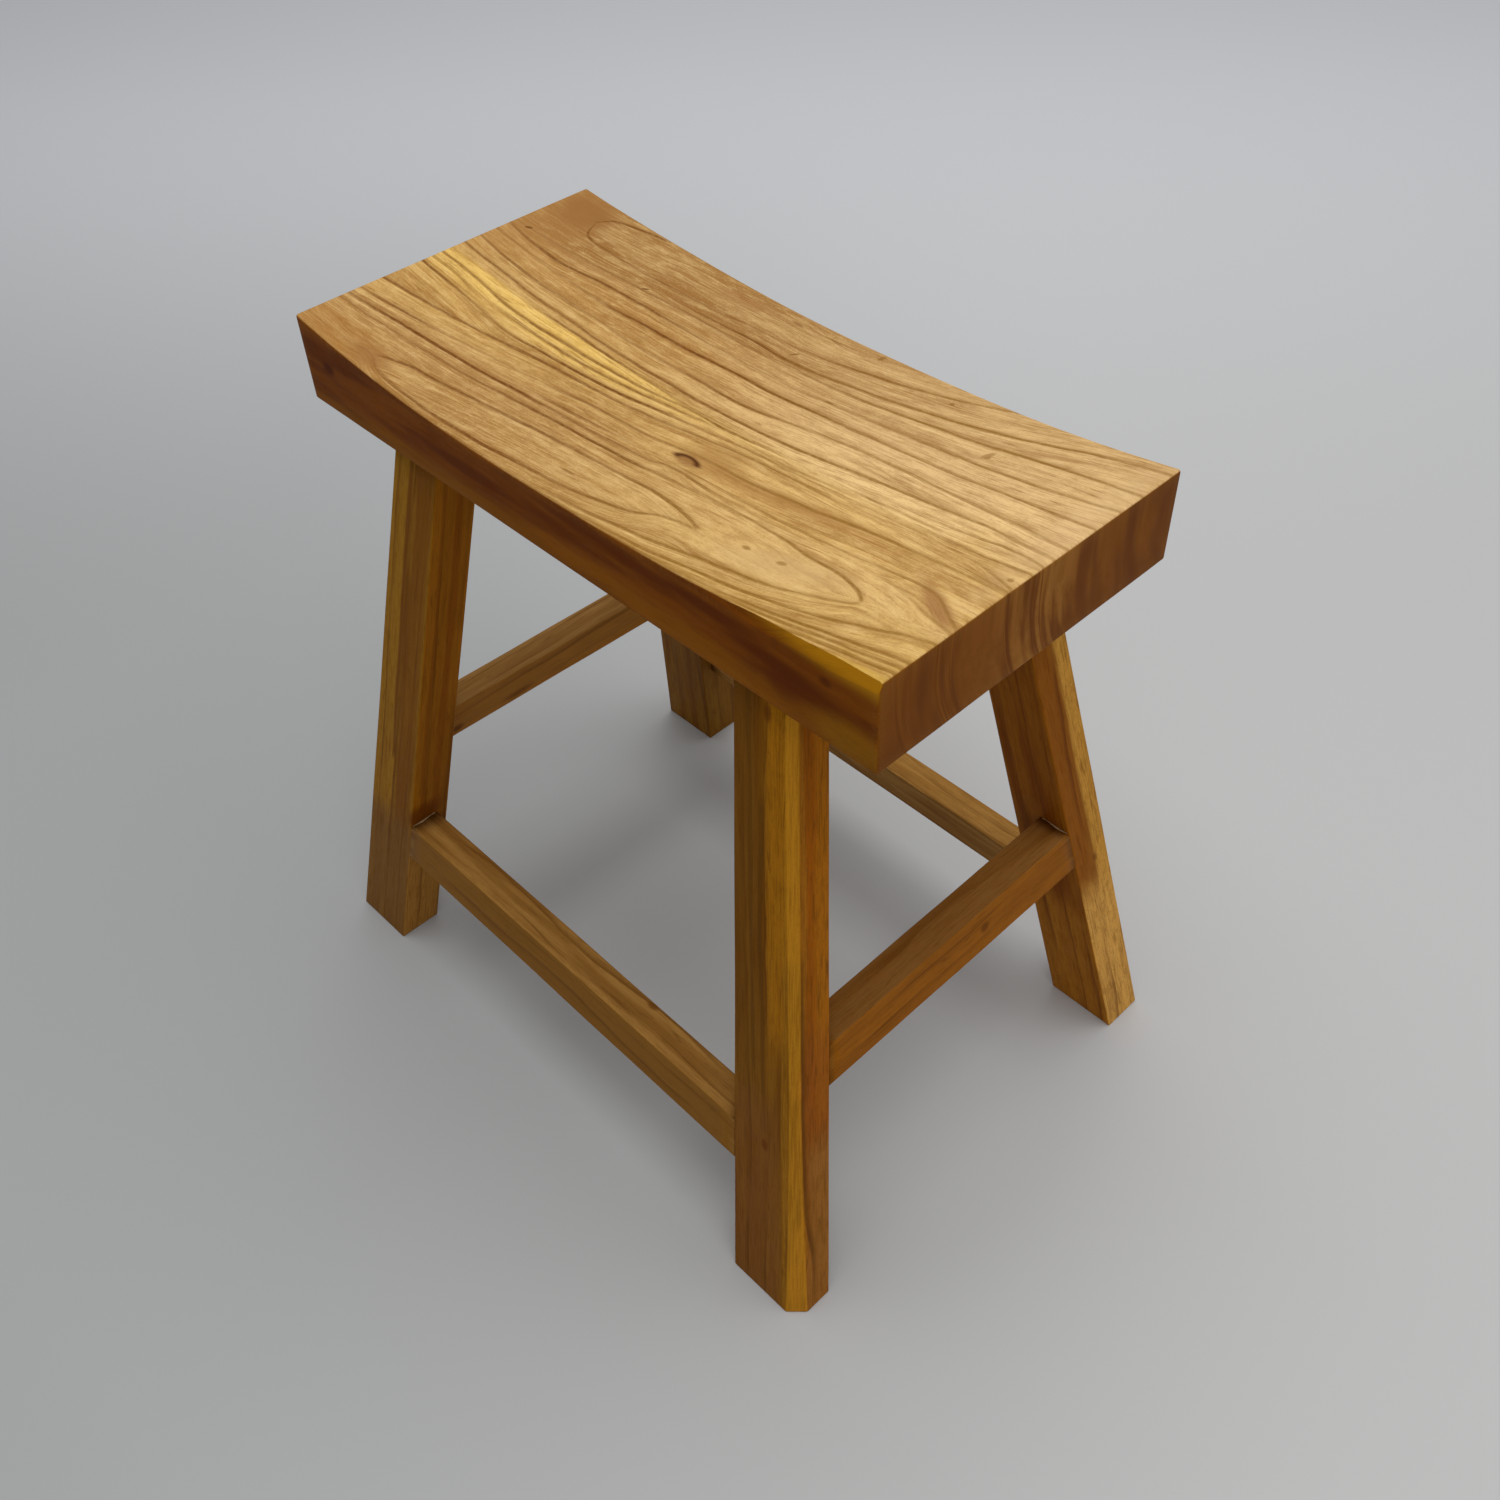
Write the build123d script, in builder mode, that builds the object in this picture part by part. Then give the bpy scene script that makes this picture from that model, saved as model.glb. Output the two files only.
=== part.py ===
from build123d import *

import os

# Wooden bench for one sitter: a thick solid plank, hollowed along its length to sit in, on four
# splayed legs that two long rails and two end rails tie together. Every joint is a blind mortise
# and tenon. +X runs along the seat, +Y to its back, +Z up; the origin is on the floor, under the
# middle of the footprint. Millimetres.

# Overall sizes
seat_length = 425
seat_depth = 204
seat_thickness = 52
seat_height = 452
dip_depth = 14.5

# A leg's head is set in from the seat's end and from its long side, and the foot splays out
head_inset_x = 59.8
head_inset_y = 7.5
splay_x = 70.8
splay_y = 67.8

# Leg stock, along X by along Y, on the floor and under the seat
leg_foot_width = 52
leg_foot_depth = 30
leg_head_width = 38
leg_head_depth = 29

# Rails: underside above the floor, height and thickness
front_rail_height = 87
back_rail_height = 83
right_rail_height = 156.5
left_rail_height = 151.5
long_rail_deep = 29
long_rail_thick = 21
end_rail_deep = 28
end_rail_thick = 21.5

# Tenons. Length is from the shoulder, and those in the seat follow the lean of the legs
leg_tenon_width = 24
leg_tenon_depth = 14
leg_tenon_length = 26
long_tenon_deep = 19
long_tenon_thick = 9
long_tenon_length = 27
end_tenon_deep = 18
end_tenon_thick = 9
end_tenon_length = 17
glue_gap = 0.15
mortise_spare = 1.5
tenon_ease = 1.5

# Edges, eased by hand
seat_ease = 1.6
seat_under_ease = 1
leg_ease = 1.2
rail_ease = 1
foot_ease = 0.8

# The front right leg has a broad hand-planed bevel down its outer corner, wider at the foot
bevel_head = 4.5
bevel_foot = 8

# Extra length for tools that cut right through
overrun = 20

# Depth of the hollow at a quarter, a half and three quarters of the length, as shares of dip_depth.
# It was worked by hand, so the front edge dips more towards the left
front_dip_shares = (0.92, 1.0, 0.6)
back_dip_shares = (0.72, 1.0, 0.79)

# The legs were fitted by hand too: each one's part of the common reach, along X and along Y
foot_shares = {
    "front_left": (1.0, 0.974),
    "front_right": (0.988, 1.0),
    "back_right": (1.0, 0.987),
    "back_left": (0.96, 1.0),
}
head_shares = {
    "front_left": (0.956, 1.0),
    "front_right": (1.0, 0.972),
    "back_right": (0.946, 1.0),
    "back_left": (0.956, 1.0),
}

# Each leg's part of the stock sizes, along X and along Y. The front right leg is wider and thinner
foot_stock_shares = {
    "front_left": (0.9135, 1.0),
    "front_right": (1.0, 0.91),
    "back_right": (0.9135, 1.0),
    "back_left": (0.9135, 1.0),
}
head_stock_shares = {
    "front_left": (1.0, 1.0),
    "front_right": (0.995, 0.85),
    "back_right": (1.0, 1.0),
    "back_left": (1.0, 1.0),
}
side_signs = {
    "front_left": (-1, -1),
    "front_right": (1, -1),
    "back_right": (1, 1),
    "back_left": (-1, 1),
}

seat_under = seat_height - seat_thickness

# Common reach of the legs' outer corners from the middle of the bench, at the head and at the foot
head_reach_x = seat_length / 2 - head_inset_x
head_reach_y = seat_depth / 2 - head_inset_y
foot_reach_x = head_reach_x + splay_x
foot_reach_y = head_reach_y + splay_y


def outer_corner(leg, height):
    """Place of a leg's outer corner at a height, as its distances along X and along Y."""
    rise = height / seat_under
    foot_x, foot_y = foot_shares[leg]
    head_x, head_y = head_shares[leg]
    reach_x = foot_reach_x * foot_x * (1 - rise) + head_reach_x * head_x * rise
    reach_y = foot_reach_y * foot_y * (1 - rise) + head_reach_y * head_y * rise
    return reach_x, reach_y


def leg_section(leg, height):
    """Width and depth of the leg stock at a height, and its centre there."""
    rise = height / seat_under
    foot_wide, foot_deep = foot_stock_shares[leg]
    head_wide, head_deep = head_stock_shares[leg]
    width = leg_foot_width * foot_wide * (1 - rise) + leg_head_width * head_wide * rise
    depth = leg_foot_depth * foot_deep * (1 - rise) + leg_head_depth * head_deep * rise
    reach_x, reach_y = outer_corner(leg, height)
    sign_x, sign_y = side_signs[leg]
    return width, depth, sign_x * (reach_x - width / 2), sign_y * (reach_y - depth / 2)


def leg_tenon(leg, gap=0, spare=0):
    """The tenon on a leg's head; with a gap and a spare depth, the mortise that takes it."""
    foot_x, foot_y = leg_section(leg, 0)[2:]
    head_x, head_y = leg_section(leg, seat_under)[2:]
    tip = leg_tenon_length + spare
    lean_x = (head_x - foot_x) / seat_under
    lean_y = (head_y - foot_y) / seat_under
    with BuildPart() as tenon:
        for rise, inset in ((-leg_tenon_length / 2, 0), (tip - tenon_ease, 0), (tip, tenon_ease)):
            grown = 2 * (gap - inset)
            with BuildSketch(Plane.XY.offset(seat_under + rise)):
                with Locations((head_x + lean_x * rise, head_y + lean_y * rise)):
                    Rectangle(leg_tenon_width + grown, leg_tenon_depth + grown)
        loft(ruled=True)
    return tenon.part


def inner_face_x(leg, height):
    """Where a leg's inner side is along X."""
    width, depth, middle_x, middle_y = leg_section(leg, height)
    return middle_x - side_signs[leg][0] * width / 2


def inner_face_y(leg, height):
    """Where a leg's inner side is along Y."""
    width, depth, middle_x, middle_y = leg_section(leg, height)
    return middle_y - side_signs[leg][1] * depth / 2


def shoulder_plane(leg, along):
    """The leg's inner side as a plane, for a rail that runs along X or along Y."""
    if along == "x":
        foot = Vector(inner_face_x(leg, 0), 0, 0)
        head = Vector(inner_face_x(leg, seat_under), 0, seat_under)
        return Plane(origin=foot, x_dir=(0, 1, 0), z_dir=(head - foot).cross(Vector(0, 1, 0)))
    foot = Vector(0, inner_face_y(leg, 0), 0)
    head = Vector(0, inner_face_y(leg, seat_under), seat_under)
    return Plane(origin=foot, x_dir=(1, 0, 0), z_dir=(head - foot).cross(Vector(1, 0, 0)))


# Each rail: the two legs that it joins, the way it runs and its own sizes
rails = {
    "front_rail": ("front_left", "front_right", "x", front_rail_height),
    "back_rail": ("back_left", "back_right", "x", back_rail_height),
    "left_rail": ("front_left", "back_left", "y", left_rail_height),
    "right_rail": ("front_right", "back_right", "y", right_rail_height),
}


def rail_sizes(along):
    """Height and thickness of a rail, then of its tenon, and the tenon's length."""
    if along == "x":
        return long_rail_deep, long_rail_thick, long_tenon_deep, long_tenon_thick, long_tenon_length
    return end_rail_deep, end_rail_thick, end_tenon_deep, end_tenon_thick, end_tenon_length


def section_plane(along, place):
    """Upright plane square to a rail. Its own X runs sideways and its own Y runs up."""
    if along == "x":
        return Plane(origin=(place, 0, 0), x_dir=(0, 1, 0), z_dir=(1, 0, 0))
    return Plane(origin=(0, place, 0), x_dir=(-1, 0, 0), z_dir=(0, 1, 0))


def sideways(along):
    """Which way a leg's outer side lies on the section plane, for each leg."""
    if along == "x":
        return {leg: signs[1] for leg, signs in side_signs.items()}
    return {leg: -signs[0] for leg, signs in side_signs.items()}


def outer_reach(leg, along, height):
    """How far out a leg's outer side is, across the way a rail runs."""
    reach_x, reach_y = outer_corner(leg, height)
    return reach_y if along == "x" else reach_x


def shoulder_place(leg, along, height):
    """Where a rail's shoulder meets the leg, along the way the rail runs."""
    return inner_face_x(leg, height) if along == "x" else inner_face_y(leg, height)


def rail_bar(name):
    """The rail between its shoulders, with its outer side in line with the legs' outer sides."""
    start, end, along, low = rails[name]
    deep, thick = rail_sizes(along)[:2]
    middle = low + deep / 2
    side = sideways(along)[start]
    lean = 0
    for leg in (start, end):
        lean += (outer_reach(leg, along, low) - outer_reach(leg, along, low + deep)) / deep / 2
    with BuildPart() as bar:
        for leg, way in ((start, -1), (end, 1)):
            place = shoulder_place(leg, along, middle) + way * overrun
            out = outer_reach(leg, along, middle)
            foot_out = side * (out + lean * deep / 2)
            head_out = side * (out - lean * deep / 2)
            with BuildSketch(section_plane(along, place)) as section:
                with BuildLine():
                    Polyline(
                        (foot_out, low),
                        (head_out, low + deep),
                        (head_out - side * thick, low + deep),
                        (foot_out - side * thick, low),
                        close=True,
                    )
                make_face()
                chamfer(section.vertices(), rail_ease)
        loft(ruled=True)
        for leg in (start, end):
            plane = shoulder_plane(leg, along)
            inward = plane.to_local_coords(Vector(0, 0, middle)).Z
            split(bisect_by=plane, keep=Keep.TOP if inward > 0 else Keep.BOTTOM)
    return bar.part


def rail_core(name, gap=0, spare=0):
    """A bar from tenon tip to tenon tip; with a gap and a spare depth, the mortises that take it."""
    start, end, along, low = rails[name]
    deep, thick, core_deep, core_thick, length = rail_sizes(along)
    middle = low + deep / 2
    side = sideways(along)[start]
    first = shoulder_place(start, along, middle) - length - spare
    last = shoulder_place(end, along, middle) + length + spare
    first_out = side * (outer_reach(start, along, middle) - thick / 2)
    last_out = side * (outer_reach(end, along, middle) - thick / 2)
    stations = (
        (first, tenon_ease),
        (first + tenon_ease, 0),
        (last - tenon_ease, 0),
        (last, tenon_ease),
    )
    with BuildPart() as core:
        for place, inset in stations:
            grown = 2 * (gap - inset)
            out = first_out + (last_out - first_out) * (place - first) / (last - first)
            with BuildSketch(section_plane(along, place)):
                with Locations((out, middle)):
                    Rectangle(core_thick + grown, core_deep + grown)
        loft(ruled=True)
    return core.part


def make_rail(name):
    """A rail with its two tenons."""
    bar = rail_bar(name)
    core = rail_core(name)
    with BuildPart() as rail:
        add(bar)
        add(core)
    return rail.part


def outer_ease(leg, height):
    """How far a leg's outer corner is cut back on each side: the others' ease, or the bevel."""
    if leg != "front_right":
        return leg_ease
    rise = height / seat_under
    return bevel_foot * (1 - rise) + bevel_head * rise


def make_leg(leg):
    """A leg: tapered stock that leans both ways, with its tenon and its two mortises."""
    tenon = leg_tenon(leg)
    mortises = [
        rail_core(name, glue_gap, mortise_spare)
        for name, (start, end, along, low) in rails.items()
        if leg in (start, end)
    ]
    outwards = Axis((0, 0, 0), side_signs[leg] + (0,))
    with BuildPart() as stock:
        for height, inset in ((0, foot_ease), (foot_ease, 0), (seat_under, 0)):
            width, depth, middle_x, middle_y = leg_section(leg, height)
            with BuildSketch(Plane.XY.offset(height)) as section:
                with Locations((middle_x, middle_y)):
                    Rectangle(width - 2 * inset, depth - 2 * inset)
                chamfer(section.vertices().sort_by(outwards)[-1], outer_ease(leg, height))
                chamfer(section.vertices().sort_by(outwards)[:3], leg_ease)
        loft(ruled=True)
        add(tenon)
        for mortise in mortises:
            add(mortise, mode=Mode.SUBTRACT)
    return stock.part


def seat_profile(plane, dip_shares):
    """The seat plank seen from the front: square ends, flat underside and hollowed top."""
    half = seat_length / 2
    left, middle, right = (seat_height - dip_depth * share for share in dip_shares)
    left_end = (-half, seat_height)
    right_end = (half, seat_height)
    with BuildSketch(plane) as profile:
        with BuildLine():
            Spline(left_end, (-half / 2, left), (0, middle), (half / 2, right), right_end)
            Polyline(right_end, (half, seat_under), (-half, seat_under), left_end)
        make_face()
    return profile.sketch


front_plane = Plane(origin=(0, -seat_depth / 2, 0), x_dir=(1, 0, 0), z_dir=(0, -1, 0))
back_plane = Plane(origin=(0, seat_depth / 2, 0), x_dir=(1, 0, 0), z_dir=(0, -1, 0))
front_profile = seat_profile(front_plane, front_dip_shares)
back_profile = seat_profile(back_plane, back_dip_shares)
seat_mortises = [leg_tenon(leg, glue_gap, mortise_spare) for leg in side_signs]

os.makedirs("parts", exist_ok=True)

# Seat
with BuildPart() as seat:
    loft([front_profile, back_profile], ruled=True)
    under_edges = seat.faces().sort_by(Axis.Z)[0].edges()
    chamfer(under_edges, seat_under_ease)
    # The top's own edges and the upright corners all reach up to the ends of the top
    upper_edges = seat.edges().filter_by(lambda edge: edge.bounding_box().max.Z > seat_height - seat_ease)
    fillet(upper_edges, seat_ease)
    for mortise in seat_mortises:
        add(mortise, mode=Mode.SUBTRACT)
seat.part.label = "seat"
export_step(seat.part, "parts/seat.step")

# Legs
for name in side_signs:
    leg_part = make_leg(name)
    leg_part.label = name + "_leg"
    export_step(leg_part, "parts/" + leg_part.label + ".step")

# Rails
for name in rails:
    rail_part = make_rail(name)
    rail_part.label = name
    export_step(rail_part, "parts/" + name + ".step")
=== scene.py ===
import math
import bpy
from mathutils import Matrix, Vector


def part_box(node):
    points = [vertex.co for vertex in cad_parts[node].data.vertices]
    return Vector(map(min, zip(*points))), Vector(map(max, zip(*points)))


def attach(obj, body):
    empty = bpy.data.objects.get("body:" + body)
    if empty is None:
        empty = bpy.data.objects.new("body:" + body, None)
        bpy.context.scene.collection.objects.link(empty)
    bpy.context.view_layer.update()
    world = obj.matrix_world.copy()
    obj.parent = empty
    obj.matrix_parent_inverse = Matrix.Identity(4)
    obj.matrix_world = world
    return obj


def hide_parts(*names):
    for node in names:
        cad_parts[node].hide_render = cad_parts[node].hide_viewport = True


bl_info = {
    "name": "Wooden bench",
    "version": (1, 0, 0),
    "blender": (4, 5, 0),
    "location": "3D View > Sidebar > Bench",
    "description": "Makes a dished plank bench on splayed legs, its lacquered wood and a plain studio floor",
    "category": "Add Mesh",
}

import bmesh
import bpy
from mathutils import Euler, Vector

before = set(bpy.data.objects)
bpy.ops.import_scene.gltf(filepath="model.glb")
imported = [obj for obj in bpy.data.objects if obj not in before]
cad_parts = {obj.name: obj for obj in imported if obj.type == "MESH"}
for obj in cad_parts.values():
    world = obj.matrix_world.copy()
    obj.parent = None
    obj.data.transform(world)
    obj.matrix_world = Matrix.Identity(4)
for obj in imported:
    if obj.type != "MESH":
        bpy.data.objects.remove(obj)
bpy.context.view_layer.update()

# Sizes are in millimetres up to the last step, when a mesh is turned into metres
MM = 0.001
seat_low, seat_high = (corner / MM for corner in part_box("seat"))
seat_size = seat_high - seat_low

# Depth of the hollow at the ends, the quarters and the middle of the seat, as shares of the whole depth
FRONT_DIP = (0.0, 0.92, 1.0, 0.6, 0.0)
BACK_DIP = (0.0, 0.72, 1.0, 0.79, 0.0)

# The seat's uppermost layer, this thick, follows the hollow in full. Below it the hollow fades out
# towards the flat underside
HOLLOW_RIM = 6.0

# A hand-planed ripple over the hollow: its size, and how far along and across it turns by one radian
RIPPLE, RIPPLE_ALONG, RIPPLE_ACROSS = 0.25, 31.0, 47.0

# Cuts along, across and up the seat, with more at these distances in from its front and its top
SEAT_CUTS = (63, 31, 5)
EDGE_CUTS = (2.6, 4.5, 7.0)

# The seat's sides drift from straight up to this far in from each edge
SIDE_DEPTH = 4.0

# The planed facet along the seat's upper front edge: where along the seat it begins and where it is full,
# how far it goes back and down there, and how far along its unevenness turns by one radian
FACET_START, FACET_FULL = 70.0, 170.0
FACET_BACK, FACET_DOWN, FACET_WAVE = 2.4, 7.0, 7.0

# Each leg: which way it stands from the middle, reach of its outer corner on the floor and under the
# seat, and its width and depth on the floor and under the seat
LEGS = {
    "front_left_leg": ((-1, -1), (223.5, 158.08), (145.98, 94.5), (47.5, 30.0), (38.0, 29.0)),
    "front_right_leg": ((1, -1), (220.82, 162.3), (152.7, 91.85), (52.0, 27.3), (37.81, 24.65)),
    "back_right_leg": ((1, 1), (223.5, 160.19), (144.45, 94.5), (47.5, 30.0), (38.0, 29.0)),
    "back_left_leg": ((-1, 1), (214.56, 162.3), (145.98, 94.5), (47.5, 30.0), (38.0, 29.0)),
}

# Each rail: the two legs that it joins, the way it runs, its underside, height and thickness
RAILS = {
    "front_rail": ("front_left_leg", "front_right_leg", 0, 87.0, 29.0, 21.0),
    "back_rail": ("back_left_leg", "back_right_leg", 0, 83.0, 29.0, 21.0),
    "left_rail": ("front_left_leg", "back_left_leg", 1, 151.5, 28.0, 21.5),
    "right_rail": ("front_right_leg", "back_right_leg", 1, 156.5, 28.0, 21.5),
}

# Cuts along each leg, rail and putty line
LEG_CUTS, RAIL_CUTS, PUTTY_CUTS = 27, 23, 11

# Rails have smaller rounded edges than legs, and drift less up and down than sideways, by these factors
RAIL_EASE, RAIL_RISE = 0.9, 0.7

# The bevel down one leg's outer corner: height above the floor and width there
PLANED_LEG = "front_right_leg"
PLANED_CORNER = ((0.0, 9.0), (60.0, 6.6), (150.0, 4.6), (400.0, 4.5))

# Joint lines where a little pale putty shows: the rail and the leg that it joins there
PUTTY = {
    "putty_front_left": ("front_rail", "front_left_leg"),
    "putty_back_right": ("right_rail", "back_right_leg"),
}

# How far a putty line's middle lies below the rail's top, half its height, how far it keeps from the
# rail's sides, how far it goes into the leg, and the rounding of its edges
PUTTY_SUNK, PUTTY_HALF, PUTTY_INSET, PUTTY_ROOT, PUTTY_EASE = 0.35, 0.45, 1.6, 0.3, 0.2

# How each planed side drifts from straight, as waves along its length: size, number of waves, phase
WANDER = (0.06, 1.3, 0.4), (0.04, 2.9, 1.7)

# The camera, solved from the photograph together with the bench: place in metres, turn in degrees, and
# its lens and sensor in millimetres
CAMERA_PLACE, CAMERA_TURN = (0.51282, -0.44744, 0.86941), (45.25865, 1.67561, 45.89169)
CAMERA_LENS, CAMERA_SENSOR = 37.574, 36.0

# Lights: place in metres, turn in radians, size of the square in metres, power in watts
LIGHTS = {
    "overhead": ((0.15, 0.25, 2.3), (0.0, 0.0, 0.0), 2.4, 38.5),
    "window": ((2.2, -1.6, 1.5), (0.95, 0.0, 0.94), 1.6, 8.0),
}
AIR_COLOUR, AIR_STRENGTH = (0.97, 0.98, 1.0, 1.0), 0.34
FLOOR_HALF = 6.0

# Edges between faces that turn by more than this, in radians, are sharp
SHARP = 0.5

# A drawn growth line: half the width of its dark core, half its whole width, the width of the late wood
# behind it, how far from the seat's middle lines are measured to each side, and a level stretch that is
# added before and after the part that shows
LINE_CORE, LINE_EDGE, LATE_WIDTH, LINE_REACH, LINE_LEAD = 0.42, 1.45, 5.0, 125.0, 9.0

# How far apart the grain of neighbouring rings starts, and the height below which the rings lean
RING_APART, RING_TURN = 53.7, 437.5

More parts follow.
